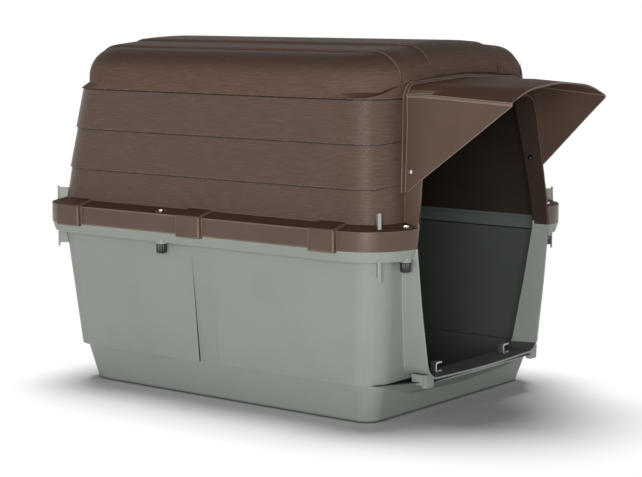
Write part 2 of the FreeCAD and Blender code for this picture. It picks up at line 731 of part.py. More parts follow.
upper_frame = new_body("upper_frame")
upper_depth = frame_front - eave_half_length + wall * 2.0
pad(upper_frame, "upper_frame_pad",
    upper_doorway(upper_frame, "upper_frame_outline", frame_front, S["frame_wall"]),
    upper_depth, backwards=True)
upper_opening = new_body("upper_opening")
pad(upper_opening, "upper_opening_pad",
    upper_doorway(upper_opening, "upper_opening_outline", frame_front + 40.0, none),
    upper_depth + 60.0, backwards=True)
frame_lean = new_body("frame_lean")
lean_sketch = new_sketch(frame_lean, "frame_lean_profile", "YZ_Plane", 0.0)
draw_outline(lean_sketch, [(-frame_front, flange_inner_top, None),
                           (-frame_front - 30.0, flange_inner_top, None),
                           (-frame_front - 30.0, S["door_top"] + 20.0, None),
                           (-frame_front + S["frame_lean"], S["door_top"] + 20.0, None)])
pad(frame_lean, "frame_lean_pad", lean_sketch, S["flange_half_width"] * 2.0, both_ways=True)


roof_half_width = eave_half_width + S["board_lap"]
roof_half_length = eave_half_length + S["roof_front_proud"]
cap_crown = S["roof_height"] - S["roof_step"] * 2.0


def roof_form(name, half_width, half_length, corner, crown, rounding):
    """A roof form: rounded in plan, crowned across and rounded along its whole top edge."""
    body = new_body(name)
    pad(body, name + "_pad", plan(body, name + "_plan", eave - 0.5, half_width, half_length, half_length,
                                  corner), measure(150.0))
    above = crown + 100.0
    far = half_width + 20.0
    edge_height = crown - S["roof_fall"] * far / half_width
    crown_sketch = draw_outline(new_sketch(body, name + "_crown", "XZ_Plane", 0.0), [
        (-far, above, None), (-far, edge_height, None), (0.0, crown, S["ridge_radius"]),
        (far, edge_height, None), (far, above, None)])
    pocket(body, name + "_crown_cut", crown_sketch, half_length * 3.0)
    low = crown.value - S["roof_fall"].value - 5.0
    inner = half_width.value - 50.0
    round_edges(body, name + "_edges", rounding,
                lambda bounds: bounds.ZMin > low
                and not (bounds.XLength < 0.01 and abs(bounds.XMin) < inner))
    return body


roof_cap = roof_form("roof_cap", roof_half_width, roof_half_length, S["roof_corner"], cap_crown,
                     S["roof_shoulder"])
roof_boards = []
for name, half_width, steps in (("roof_board_wide", S["roof_board_outer"], 1.0),
                                ("roof_board_ridge", S["roof_board_inner"], 2.0)):
    form = roof_form(name + "_form", roof_half_width, roof_half_length, S["roof_corner"],
                     cap_crown + S["roof_step"] * steps, S["roof_shoulder"])
    strip = box(name + "_strip", (-half_width, -roof_half_length - 10.0, eave - 10.0),
                (half_width * 2.0, roof_half_length * 2.0 + 20.0, 200.0))
    roof_boards.append(common(name, form, strip))
roof_hollow = roof_form("roof_hollow", eave_half_width - wall, eave_half_length - wall,
                        S["roof_corner"] - wall, cap_crown - wall, S["roof_shoulder"] - wall)

# Small slopes fill the corners between the wall and the roof's rounder plan.
slope_width = roof_half_width - 1.0
slope_rear = roof_half_length - 1.0
shoulders = new_body("roof_corner_slopes")
loft(shoulders, "roof_corner_slopes_form", [
    plan(shoulders, "roof_corner_slopes_high", eave + S["shoulder_rise"], slope_width,
         slope_rear, slope_rear, S["roof_corner"]),
    plan(shoulders, "roof_corner_slopes_low", eave - 0.5, slope_width, eave_half_length - 1.0,
         slope_rear, S["eave_corner"])])


def brow_prism(name):
    """Space under the roof's lower edge, which arches over the door."""
    body = new_body(name)
    reach = roof_half_width + 10.0
    outline = draw_outline(new_sketch(body, name + "_outline", "XZ_Plane", roof_half_length + 10.0), [
        (-reach, eave - 20.0, None), (reach, eave - 20.0, None), (reach, eave + 1.0, None),
        (S["arch_half_width"], eave + 4.0, 150.0),
        (S["roof_board_outer"], eave + S["arch_rise"] * 0.65, 250.0),
        (0.0, eave + S["arch_rise"] + 6.0, 1500.0),
        (-S["roof_board_outer"], eave + S["arch_rise"] * 0.65, 250.0),
        (-S["arch_half_width"], eave + 4.0, 150.0), (-reach, eave + 1.0, None)])
    pad(body, name + "_pad", outline, S["roof_corner"] + 10.0, backwards=True)
    return body


# Below the brow the wall itself goes on up to the roof.
wall_top = new_body("wall_top")
pad(wall_top, "wall_top_pad",
    plan(wall_top, "wall_top_plan", eave - 0.5, eave_half_width, eave_half_length, eave_half_length,
         S["eave_corner"]), S["arch_rise"] + 30.0)
brow_wall = common("brow_wall", wall_top, brow_prism("brow_keep"))
brow = brow_prism("brow")

lid_hollow = new_body("lid_hollow")
loft(lid_hollow, "lid_hollow_form",
     [plan(lid_hollow, "lid_hollow_low", joint, wall_half_width - wall, wall_half_length - wall,
           wall_half_length - wall, wall_corner - wall),
      plan(lid_hollow, "lid_hollow_mid", flange_inner_top, wall_half_width - wall,
           wall_half_length - wall, wall_half_length - wall, wall_corner - wall)])
loft(lid_hollow, "lid_hollow_upper",
     [plan(lid_hollow, "lid_hollow_upper_low", flange_inner_top, wall_half_width - wall,
           wall_half_length - wall, wall_half_length - wall, wall_corner - wall),
      plan(lid_hollow, "lid_hollow_top", eave + 1.0, eave_half_width - wall, eave_half_length - wall,
           eave_half_length - wall, S["eave_corner"] - wall)])

blocks = []
for side, sign in SIDES:
    for number, place_y in enumerate(BLOCK_PLACES, start=1):
        body = new_body("block_%s_%d" % (side, number))
        face = S["flange_half_width"]
        out = face + S["block_proud"]
        corners = [(sign * (face - wall), joint, None),
                   (sign * (face + S["joint_clearance"]), joint, None),
                   (sign * (face + S["joint_clearance"]), joint - S["block_overhang"], None),
                   (sign * out, joint - S["block_overhang"], None),
                   (sign * out, flange_top + S["block_rise"], 5.0),
                   (sign * (wall_half_width - 1.0), flange_inner_top + S["block_rise"], None),
                   (sign * (wall_half_width - 1.0), flange_inner_top - wall, None),
                   (sign * (face - wall), flange_top - wall, None)]
        sketch = new_sketch(body, body.Name + "_profile", "XZ_Plane", -place_y)
        draw_outline(sketch, corners)
        pad(body, body.Name + "_pad", sketch, S["block_length"], both_ways=True)
        blocks.append(body)

# A square post stands in the flange round each bolt, faced off flat under the bolt's head.
post = S["post_half_width"]
posts = [box("post_" + name, (x - post, y - post, joint), (post * 2.0, post * 2.0, head_seat - joint))
         for name, x, y in BOLTS]
post_clears = [box("post_clear_" + name, (x - post, y - post, head_seat),
                   (post * 2.0, post * 2.0, wall * 2.0))
               for name, x, y in BOLTS]
lid_fins = corner_fins("lid_fin", flange_top - 2.0, S["fin_top"], flange_top - 2.0,
                       S["fin_top"] + S["fin_bar_depth"], 3.0)

# Holes through the frame's cheeks for the visor bolts, square to the sloping cheeks.
cheek_slope = math.atan2((S["door_mid_width"] - S["door_high_width"]).value,
                         (S["door_high_height"] - S["door_mid_height"]).value)
cheek_y = -(frame_front - S["cheek_bolt_setback"])
cheek_x = (S["door_mid_width"] + S["frame_wall"]
           - (S["door_mid_width"] - S["door_high_width"])
           * (S["cheek_bolt_height"] - S["door_mid_height"])
           / (S["door_high_height"] - S["door_mid_height"]))


def cheek_axis(sign):
    """Outward direction of the frame's cheek at the visor bolts."""
    return Vector(sign * math.cos(cheek_slope), 0, math.sin(cheek_slope))


def along_cheek_axis(sign, distance):
    """A point on a visor bolt's axis, at a distance outward from the frame's cheek."""
    direction = cheek_axis(sign)
    return (sign * cheek_x + distance * direction.x, cheek_y,
            S["cheek_bolt_height"] + distance * direction.z)


cheek_holes = [cylinder("cheek_hole_" + side, S["cheek_bolt_radius"] + S["bolt_hole_clearance"],
                        measure(16.0), along_cheek_axis(sign, -10.0), cheek_axis(sign))
               for side, sign in SIDES]

frame_trimmed = cut("upper_frame_trimmed", upper_frame, frame_lean)
roof_trimmed = cut("roof_trimmed", fuse("roof_all", [roof_cap, shoulders] + roof_boards), brow)
lid_solid = fuse("lid_solid", [lid_walls, lid_flange, frame_trimmed, roof_trimmed, brow_wall] + blocks
                 + posts + lid_fins)
tongue_slot = new_body("tongue_slot")
pad(tongue_slot, "tongue_slot_pad",
    plan(tongue_slot, "tongue_slot_plan", joint - 1.0, wall_half_width + S["joint_clearance"],
         wall_half_length + S["joint_clearance"], wall_half_length + S["joint_clearance"],
         S["tub_corner"] + S["joint_clearance"]), S["tongue_rise"] + S["joint_clearance"] + 1.0)
lid_voids = fuse("lid_voids", [lid_hollow, roof_hollow, upper_opening, tongue_slot] + bolt_holes
                 + cheek_holes + post_clears)
lid_shell = cut("lid_shell", lid_solid, lid_voids)

# ---------------------------------------------------------------- awning over the door

visor_wall = S["visor_wall"]
cheek_lean = ((S["door_mid_width"] - S["door_high_width"])
              / (S["door_high_height"] - S["door_mid_height"]))
cheek_foot = (S["door_mid_width"] + S["frame_wall"] + S["visor_gap"]
              + (S["door_mid_height"] - S["visor_foot"]) * cheek_lean)
cheek_knee = S["door_high_width"] + S["frame_wall"] + S["visor_gap"]
cheek_run = S["flange_half_length"] + 2.0


def awning_outline(body, name, offset, half_width, crease, crown, shoulder, corner, grow, low):
    """Half hoop seen from the front: cheeks, crease bead, shoulder and crown."""
    bead = S["visor_bead"] if grow.value else none
    narrow = S["visor_crease_width"] - half_width
    half = [(cheek_foot + (S["visor_foot"] - low) * cheek_lean - narrow + grow, low, None),
            (cheek_knee - narrow + grow, S["door_high_height"], None),
            (half_width + grow, crease - S["visor_bead"] * 2.0, None),
            (half_width + grow + bead, crease - S["visor_bead"], None),
            (half_width + grow + bead, crease + S["visor_bead"], None),
            (half_width + grow - S["visor_bead"], crease + S["visor_bead"] * 2.0, None),
            (shoulder[0] + grow, shoulder[1] + grow, corner),
            (0.0, crown + grow, S["visor_ridge_radius"])]
    mirrored = [(-x, z, radius) for x, z, radius in reversed(half[:-1])]
    return draw_outline(new_sketch(body, name, "XZ_Plane", offset), half + mirrored)


def awning_form(name, grow, low, front):
    """The awning's outer form, or with no wall added its inside."""
    body = new_body(name)
    sections = []
    for tag, offset in (("back", eave_half_length - 30.0), ("run", cheek_run)):
        sections.append(awning_outline(body, name + "_" + tag, offset, S["visor_crease_width"],
                                       S["visor_crease"], S["visor_crown"],
                                       (S["visor_crease_width"] - 11.0, S["visor_crown"] - 10.0),
                                       S["visor_shoulder"], grow, low))
    sections.append(awning_outline(body, name + "_tip", front, S["visor_tip_width"],
                                   S["visor_tip_height"], S["visor_tip_crown"],
                                   (S["visor_tip_width"] * 0.65, S["visor_tip_crown"] - 11.0),
                                   S["visor_shoulder"] * 10.0, grow, low))
    loft(body, name + "_form", sections)
    return body


awning_outer = awning_form("awning_outer", visor_wall, S["visor_foot"], S["visor_reach"])
awning_inner = awning_form("awning_inner", none, S["visor_foot"] - 5.0, S["visor_reach"] + 0.5)


def wall_line(height, gap):
    """Front face of the lid's front wall at a height, with a gap in front of it."""
    return -(wall_half_length - lid_inset(height)) - gap


# Everything behind the front wall, and everything below the slanted foot of the cheeks.
roof_face = -eave_half_length - S["visor_gap"]
awning_back = new_body("awning_back")
back_profile = draw_outline(new_sketch(awning_back, "awning_back_profile", "YZ_Plane", none), [
    (wall_line(S["visor_foot"] - 20.0, S["visor_gap"]), S["visor_foot"] - 20.0, None),
    (wall_line(S["visor_foot"] - 20.0, S["visor_gap"]) + 100.0, S["visor_foot"] - 20.0, None),
    (wall_line(S["visor_foot"] - 20.0, S["visor_gap"]) + 100.0, S["visor_crown"] + 60.0, None),
    (roof_face, S["visor_crown"] + 60.0, None),
    (roof_face, eave, None)])
pad(awning_back, "awning_back_pad", back_profile,
    S["flange_half_width"] * 2.0, both_ways=True)

awning_foot = new_body("awning_foot")
foot_profile = draw_outline(new_sketch(awning_foot, "awning_foot_profile", "YZ_Plane", none), [
    (-S["visor_heel"], S["visor_foot"], None),
    (-S["visor_heel"], S["visor_foot"] - 30.0, None),
    (-S["visor_reach"] - 40.0, S["visor_foot"] - 30.0, None),
    (-S["visor_reach"] - 40.0, S["visor_tip_height"] + 27.0, None),
    (-S["visor_reach"], S["visor_tip_height"] - S["visor_bead"] * 2.0, None)])
pad(awning_foot, "awning_foot_pad", foot_profile,
    S["flange_half_width"] * 2.0, both_ways=True)

awning_plate = new_body("awning_plate")
plate_foot = S["visor_foot"]
plate_profile = draw_outline(new_sketch(awning_plate, "awning_plate_profile", "YZ_Plane", none), [
    (wall_line(plate_foot, S["visor_gap"]), plate_foot, None),
    (roof_face, eave, None),
    (roof_face, S["visor_crown"] + 60.0, None),
    (roof_face - visor_wall, S["visor_crown"] + 60.0, None),
    (roof_face - visor_wall, eave, None),
    (wall_line(plate_foot, S["visor_gap"] + visor_wall), plate_foot, None)])
pad(awning_plate, "awning_plate_pad", plate_profile,
    S["flange_half_width"] * 2.0, both_ways=True)
awning_rim = new_body("awning_rim")
rim_half = [(cheek_foot + visor_wall + S["visor_lip"], plate_foot - 1.0, None),
            (S["visor_crease_width"] + visor_wall + S["visor_lip"], S["visor_crease"], 30.0),
            (S["visor_crease_width"] + visor_wall - 4.0,
             S["visor_crown"] + visor_wall + S["visor_brow"] - 9.0, 20.0)]
rim_corners = rim_half + [(0.0, S["visor_crown"] + visor_wall + S["visor_brow"],
                           S["visor_ridge_radius"])]
rim_corners += [(-x, z, radius) for x, z, radius in reversed(rim_half)]
rim_outline = draw_outline(new_sketch(awning_rim, "awning_rim_outline", "XZ_Plane",
                                      eave_half_length - 20.0), rim_corners)
pad(awning_rim, "awning_rim_pad", rim_outline, measure(60.0))

visor_holes = [cylinder("visor_hole_" + side, S["cheek_bolt_radius"] + S["bolt_hole_clearance"],
                        measure(16.0), along_cheek_axis(sign, -2.0), cheek_axis(sign))
               for side, sign in SIDES]
awning = cut("awning", fuse("awning_solid", [awning_outer, common("awning_flange", awning_rim,
                                                                  awning_plate)]),
             fuse("awning_voids", [awning_inner, awning_back, awning_foot] + visor_holes))

# ---------------------------------------------------------------- bolts and nuts


def part_of_axis(name, profile, x, y, z, direction=Vector(0, 0, 1)):
    """A turned piece: its half profile (radius, height) turned about its axis."""
    body = new_body(name)
    sketch = draw_outline(new_sketch(body, name + "_profile", "XZ_Plane", none), profile)
    turn = body.newObject("PartDesign::Revolution", name + "_turned")
    turn.Profile = sketch
    turn.ReferenceAxis = (sketch, ["V_Axis"])
    turn.Angle = 360.0
    body.Tip = turn
    stand(body, (x, y, z), Rotation(Vector(0, 0, 1), direction))
    return body


shank_end = -(S["boss_depth"] + S["flange_rise"] + S["spot_face"] + S["nut_gap"]
              + S["nut_height"] - S["nut_cap"] - 2.0)


def hex_bolt(name, x, y):
    """A bolt with a low hexagonal head."""
    body = new_body(name)
    corners = [(S["bolt_head_radius"] * math.cos(math.pi * step / 3.0),
                S["bolt_head_radius"] * math.sin(math.pi * step / 3.0), None) for step in range(6)]
    head = draw_outline(new_sketch(body, name + "_head", "XY_Plane", 0.0), corners)
    pad(body, name + "_head_pad", head, S["bolt_head_height"])
    stand(body, (x, y, head_seat), Rotation())
    shank = cylinder(name + "_shank", S["bolt_radius"], -shank_end + 1.0, (x, y, head_seat + shank_end))
    return fuse(name + "_whole", [body, shank])


flange_bolts = doc.addObject("Part::Compound", "flange_bolts")
flange_bolts.Links = [hex_bolt("flange_bolt_" + name, x, y) for name, x, y in BOLTS]

cheek_scale = math.cos(cheek_slope)
visor_seat = (S["visor_gap"] + visor_wall) * cheek_scale
frame_inside = -S["frame_wall"] * cheek_scale
visor_shank = -(visor_seat - frame_inside + S["dome_nut_height"] - S["visor_wall"])
visor_bolt_profile = [(0.0, visor_shank, None), (S["cheek_bolt_radius"], visor_shank, None),
                      (S["cheek_bolt_radius"], 0.0, None), (S["cheek_bolt_head"], 0.0, None),
                      (S["cheek_bolt_head"] * 0.6, S["cheek_bolt_radius"], None),
                      (0.0, S["cheek_bolt_radius"], None)]
dome_bore = S["cheek_bolt_radius"] + S["nut_clearance"]
dome_depth = S["dome_nut_height"] - S["visor_wall"] + 1.0
dome_profile = [(dome_bore, 0.0, None), (S["cheek_bolt_head"], 0.0, None),
                (S["cheek_bolt_head"], S["dome_nut_height"] * 0.55, None),
                (S["cheek_bolt_head"] * 0.55, S["dome_nut_height"], None),
                (0.0, S["dome_nut_height"], None), (0.0, dome_depth, None), (dome_bore, dome_depth, None)]
visor_bolts = doc.addObject("Part::Compound", "awning_bolts")
visor_bolts.Links = [part_of_axis("awning_bolt_" + side, visor_bolt_profile,
                                  *along_cheek_axis(sign, visor_seat), direction=cheek_axis(sign))
                     for side, sign in SIDES]
dome_nuts = doc.addObject("Part::Compound", "awning_nuts")
dome_nuts.Links = [part_of_axis("awning_nut_" + side, dome_profile,
                                *along_cheek_axis(sign, frame_inside), direction=-cheek_axis(sign))
                   for side, sign in SIDES]


def knurled_nut(name, x, y):
    """Blind hand nut with a zigzag knurl, hanging under its boss."""
    body = new_body(name)
    corners = []
    for step in range(NUT_RIBS * 2):
        angle = math.pi * step / NUT_RIBS
        radius = S["nut_radius"] if step % 2 == 0 else S["nut_radius"] - S["nut_rib"]
        corners.append((radius * math.cos(angle), radius * math.sin(angle), None))
    knurl = draw_outline(new_sketch(body, name + "_knurl", "XY_Plane", 0.0), corners)
    pad(body, name + "_knurl_pad", knurl, S["nut_height"], backwards=True)
    bore = new_sketch(body, name + "_bore", "XY_Plane", 0.0)
    radius = S["bolt_radius"] + S["nut_clearance"]
    bore.addGeometry(Part.Circle(Vector(), Vector(0, 0, 1), radius.value))
    bore.addConstraint(Sketcher.Constraint("Coincident", 0, 3, -1, 1))
    rule = bore.addConstraint(Sketcher.Constraint("Radius", 0, radius.value))
    bore.setExpression("Constraints[%d]" % rule, radius.text)
    hole = body.newObject("PartDesign::Pocket", name + "_bore_cut")
    hole.Profile = bore
    depth = S["nut_height"] - S["nut_cap"]
    hole.Length = depth.value
    hole.setExpression("Length", depth.text)
    body.Tip = hole
    stand(body, (x, y, boss_foot - S["nut_gap"]), Rotation())
    return body


NUT_RIBS = 16
nuts = [knurled_nut("nut_" + name, x, y) for name, x, y in BOLTS]

# ---------------------------------------------------------------- catches on the sill

sill_slope = math.atan2((S["door_sill_side"] - S["door_sill"]).value, S["door_foot_width"].value)


def catch(name, sign):
    """C-shaped spring catch that stands on the sill, its mouth to the right."""
    body = new_body(name)
    half, thick = S["catch_width"] / 2.0, S["catch_wall"]
    top = S["catch_height"]
    corners = [(-half, 0.0, 3.0), (half, 0.0, None), (half, thick, None), (-half + thick, thick, 1.0),
               (-half + thick, top - thick, 1.0), (half, top - thick, None), (half, top, None),
               (-half, top, 3.0)]
    sketch = new_sketch(body, name + "_outline", "XZ_Plane", none)
    draw_outline(sketch, corners)
    pad(body, name + "_pad", sketch, S["catch_depth"], both_ways=True)
    rise = (S["door_sill_side"] - S["door_sill"]) * S["catch_spacing"] / S["door_foot_width"]
    stand(body, (sign * S["catch_spacing"], -wall_half_length, S["door_sill"] + rise + 0.05),
          Rotation(Vector(0, 1, 0), -sign * math.degrees(sill_slope)))
    return body


catches = [catch("sill_catch_" + side, sign) for side, sign in SIDES]

# ---------------------------------------------------------------- checks and files

NODES = [base_shell, lid_shell, awning, flange_bolts, visor_bolts, dome_nuts] + nuts + catches
for node in NODES:
    node.Label = node.Name
doc.recompute()
for feature in doc.Objects:
    if "Invalid" in feature.State or "Error" in feature.State:
        raise RuntimeError("%s did not compute: %s" % (feature.Name, feature.State))
for node in NODES:
    if node.Shape.isNull() or not node.Shape.isValid():
        raise RuntimeError(node.Name + " has no valid shape")
os.makedirs("parts", exist_ok=True)
for node in NODES:
    node.Shape.exportStep(os.path.join("parts", node.Name + ".step"))
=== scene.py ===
# %% [markdown]
# # A dog house of two moulded shells
#
# The real thing is made of polypropylene mouldings: a grey-green tub, a brown lid with a wood
# grain in its skin, and a brown awning bolted over the doorway. Six bolts go through the joint
# flange and are drawn up by black hand nuts. Its shape is already measured and modelled as
# solids. This lesson loads those solids as a fixed frame and gives them everything that a
# solid model leaves out: softened mould edges, ribbed nuts, plastics with their grain, a
# camera where the photograph was taken from, and soft studio light.

# %% Load the measured model
import json
import math

import bmesh
import bpy
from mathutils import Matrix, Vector

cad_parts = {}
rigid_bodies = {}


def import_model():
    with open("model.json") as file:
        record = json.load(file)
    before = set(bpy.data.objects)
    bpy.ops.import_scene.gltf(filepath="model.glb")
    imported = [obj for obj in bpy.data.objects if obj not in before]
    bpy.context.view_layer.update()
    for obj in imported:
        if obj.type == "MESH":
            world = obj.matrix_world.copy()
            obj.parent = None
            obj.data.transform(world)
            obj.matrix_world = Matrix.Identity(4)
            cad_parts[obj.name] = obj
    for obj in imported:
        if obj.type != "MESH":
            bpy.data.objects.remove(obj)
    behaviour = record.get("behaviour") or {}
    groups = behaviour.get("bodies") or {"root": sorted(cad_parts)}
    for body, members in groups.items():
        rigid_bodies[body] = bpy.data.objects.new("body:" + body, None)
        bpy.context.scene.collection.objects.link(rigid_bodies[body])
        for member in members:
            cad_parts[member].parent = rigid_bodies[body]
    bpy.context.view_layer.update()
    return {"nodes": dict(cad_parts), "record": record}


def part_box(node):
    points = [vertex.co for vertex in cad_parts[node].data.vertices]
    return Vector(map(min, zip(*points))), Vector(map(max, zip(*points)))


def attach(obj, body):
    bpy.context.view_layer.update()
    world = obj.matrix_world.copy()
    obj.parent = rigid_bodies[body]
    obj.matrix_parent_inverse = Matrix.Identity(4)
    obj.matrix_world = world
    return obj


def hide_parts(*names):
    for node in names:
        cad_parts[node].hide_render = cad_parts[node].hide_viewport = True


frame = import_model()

scene = bpy.context.scene

# %% [markdown]
# ## The camera
#
# Straight edges in a photograph tell where it was taken from. The edges of the doorway, the
# flange and the tub were matched to the solids, which gave a long lens about four metres
# away, a little above the flange and looking slightly down. A long lens keeps the two long
# sides almost parallel, so a shorter one would already look wrong.

# %% Place the camera
SENSOR_WIDTH, LENS = 36.0, 104.04
CAMERA_PLACE = (-3.2599, -2.5769, 0.8605)
CAMERA_TILT, CAMERA_HEADING = 82.595, -52.19
camera = bpy.data.objects.new("photo_camera", bpy.data.cameras.new("photo_camera"))
camera.data.sensor_width = SENSOR_WIDTH
camera.data.lens = LENS
camera.location = CAMERA_PLACE
camera.rotation_euler = (math.radians(CAMERA_TILT), 0.0, math.radians(CAMERA_HEADING))
scene.collection.objects.link(camera)
scene.camera = camera
print("camera distance: %.2f m" % camera.location.length)

# %% [markdown]
# ## Colours and nodes
#
# Colours are written as the hex values that a colour picker shows, and one function turns
# them into the linear light values that Blender calculates with. A second small function
# adds a shader node and joins it up, so that each material below reads like a recipe.
#
# Sizes of patterns and rounds are in millimetres and are multiplied by MM where Blender needs
# metres. Places on the object are in metres, as the frame gives them.

# %% Colours and one function for every node
MM = 0.001


def to_linear(hex_colour):
    """An sRGB hex colour as linear red, green, blue and full alpha."""
    channels = [int(hex_colour[place:place + 2], 16) / 255.0 for place in (1, 3, 5)]
    return [c / 12.92 if c <= 0.04045 else ((c + 0.055) / 1.055) ** 2.4 for c in channels] + [1.0]


def add_node(material, kind, settings=None, links=None):
    """Add a shader node, set its values and join its inputs to other nodes' outputs.

    The setting steps holds the (place, hex colour) steps of a colour ramp.
    """
    node = material.node_tree.nodes.new("ShaderNode" + kind)
    for name, value in (settings or {}).items():
        if name == "steps":
            elements = node.color_ramp.elements
            for element, (place, colour) in zip(elements, value):
                element.position = place
                element.color = to_linear(colour)
            for place, colour in value[2:]:
                elements.new(place).color = to_linear(colour)
        elif isinstance(name, int) or name in node.inputs:
            node.inputs[name].default_value = value
        else:
            setattr(node, name, value)
    for name, source in (links or {}).items():
        material.node_tree.links.new(source, node.inputs[name])
    return node


print("mid grey #808080 is linear %.3f" % to_linear("#808080")[0])

# %% [markdown]
# ## How each finish starts and ends
#
# Every material starts empty and ends in one Principled shader. Where two surfaces meet in a
# narrow corner, such as under a lapped board or beside a block, the colour is darkened with
# painted shade. The ambient occlusion node gives 1 on an open surface, about a half at the
# foot of a plain step, and less in a crevice. Only what is below a half is darkened.

# %% Start and end of a material
CREVICE_REACH = 7.0
CREVICE_DEEP, CREVICE_OPEN = 0.05, 0.50
CREVICE_SHADE_SHARE = 0.60
CREVICE_SHADE_HUE = "#0c0907"


def new_material(name):
    """An empty node material and its output node."""
    material = bpy.data.materials.new(name)
    material.use_nodes = True
    material.node_tree.nodes.clear()
    return material, add_node(material, "OutputMaterial")


def finish_material(material, output, settings, links):
    """Join a Principled shader to the output, with painted shade darkening its colour in narrow
    corners.
    """
    corners = add_node(material, "AmbientOcclusion",
                       {"samples": 6, "Distance": CREVICE_REACH * MM})
    depth = add_node(material, "MapRange",
                     {"From Min": CREVICE_DEEP, "From Max": CREVICE_OPEN,
                      "To Min": CREVICE_SHADE_SHARE, "To Max": 0.0}, {"Value": corners.outputs["AO"]})
    # painted shade: the colour is mixed towards a dark hue where the occlusion is strong
    shaded = add_node(material, "Mix", {"data_type": "RGBA", 7: to_linear(CREVICE_SHADE_HUE)},
                      {0: depth.outputs["Result"], 6: links.pop("Base Color")})
    links["Base Color"] = shaded.outputs[2]
    shader = add_node(material, "BsdfPrincipled", settings, links)
    material.node_tree.links.new(shader.outputs["BSDF"], output.inputs["Surface"])
    print("finished", material.name, "with", len(material.node_tree.nodes), "nodes")
    return material


# %% [markdown]
# ## Grey-green polypropylene for the tub
#
# Polypropylene from a mould has a fine, even spark-eroded texture. The eye reads it as a
# matte skin with a broad soft shine and no clear reflection. Its index of refraction is
# 1.49. The texture's grains are about 0.4 mm on the real thing, too fine for this picture, so
# they are drawn 1.2 mm wide. A second pattern, seven clouds to the metre, gives the slight
# cloudiness that thick mouldings have. The pits scatter part of the mirror-like shine, so the
# shader's specular level is set below its usual half. The inside is duller and darkened with
# painted shade, with a paler rim where the lid's joint sits. The edges are paler, a painted
# highlight.

# %% Patterns that several plastics share
GRAIN_SIZE = 1.2
GRAIN_STRENGTH = 0.6
BORDER = 0.5


def eroded_grain(material, spacing, depth):
    """Bump of the fine pitted texture that a spark-eroded mould leaves, spacing in mm."""
    place = add_node(material, "TexCoord").outputs["Object"]
    grain = add_node(material, "TexNoise", {"Scale": 1.0 / (spacing * MM), "Detail": 2.0},
                     {"Vector": place})
    bump = add_node(material, "Bump", {"Strength": GRAIN_STRENGTH, "Distance": depth * MM},
                    {"Height": grain.outputs["Fac"]})
    return place, grain, bump


def band(material, height, low, high):
    """1 between two heights in mm, with soft borders, and 0 elsewhere."""
    rise = add_node(material, "MapRange",
                    {"interpolation_type": "SMOOTHSTEP", "From Min": (low - BORDER) * MM,
                     "From Max": (low + BORDER) * MM}, {"Value": height})
    fall = add_node(material, "MapRange",
                    {"interpolation_type": "SMOOTHSTEP", "From Min": (high - BORDER) * MM,
                     "From Max": (high + BORDER) * MM, "To Min": 1.0, "To Max": 0.0},
                    {"Value": height})
    return add_node(material, "Math", {"operation": "MULTIPLY"},
                    {0: rise.outputs["Result"], 1: fall.outputs["Result"]}).outputs[0]


print("grain drawn %.1f mm wide, bands with %.1f mm borders" % (GRAIN_SIZE, BORDER))

# %% Tub plastic
POLYPROPYLENE_IOR = 1.49
SKIN_SPECULAR = 0.28
TUB_GRAIN_DEPTH = 0.05
TUB_SHINE_SPREAD = (0.04, 0.05)
TUB_CLOUD_SIZE = 1000.0 / 7
RIM_FOOT, RIM_TOP, RIM_LINE = 341.0, 372.0, 3.0
RIM_HUE, RIM_LINE_HUE = "#59615a", "#1d201d"


def rim_band(material, place, colour):
    """Colour with the paler rim at the top of the tub's inside and the shaded line under it."""
    height = add_node(material, "SeparateXYZ", links={"Vector": place}).outputs["Z"]
    for low, high, hue in ((RIM_FOOT, RIM_TOP, RIM_HUE),
                           (RIM_FOOT - RIM_LINE, RIM_FOOT, RIM_LINE_HUE)):
        mixed = add_node(material, "Mix", {"data_type": "RGBA", 7: to_linear(hue)},
                         {0: band(material, height, low, high), 6: colour})
        colour = mixed.outputs[2]
    return colour


def tub_polypropylene(name, dull, plain, bright, roughness, rim=False):
    """Moulded grey-green plastic, from its dull to its bright colour."""
    material, output = new_material(name)
    place, grain, bump = eroded_grain(material, GRAIN_SIZE, TUB_GRAIN_DEPTH)
    clouds = add_node(material, "TexNoise", {"Scale": 1.0 / (TUB_CLOUD_SIZE * MM), "Detail": 3.0},
                      {"Vector": place})
    mottle = add_node(material, "Math", {"operation": "MULTIPLY_ADD", 1: 0.25},
                      {0: grain.outputs["Fac"], 2: clouds.outputs["Fac"]})
    ramp = add_node(material, "ValToRGB",
                    {"steps": ((0.35, dull), (0.95, bright), (0.62, plain))},
                    {"Fac": mottle.outputs[0]})
    colour = ramp.outputs["Color"]
    if rim:
        colour = rim_band(material, place, colour)
    shine = add_node(material, "MapRange",
                     {"To Min": roughness - TUB_SHINE_SPREAD[0],
                      "To Max": roughness + TUB_SHINE_SPREAD[1]},
                     {"Value": grain.outputs["Fac"]})
    return finish_material(
        material, output, {"IOR": POLYPROPYLENE_IOR, "Specular IOR Level": SKIN_SPECULAR},
        {"Base Color": colour, "Roughness": shine.outputs["Result"],
         "Normal": bump.outputs["Normal"]})


tub_plastic = tub_polypropylene("tub_polypropylene", "#90978f", "#959c94", "#999f98", 0.46)
# edges: paler than the skin, a painted highlight
tub_highlight_edge_plastic = tub_polypropylene(
    "tub_polypropylene_edges_painted_highlight", "#a0a79f", "#a8aea7", "#b0b5ae", 0.38)
# inside: darker than the outside, a painted shade
tub_inside_shaded_plastic = tub_polypropylene(
    "tub_polypropylene_inside_painted_shade", "#434842", "#494e48", "#4f544e", 0.62, rim=True)

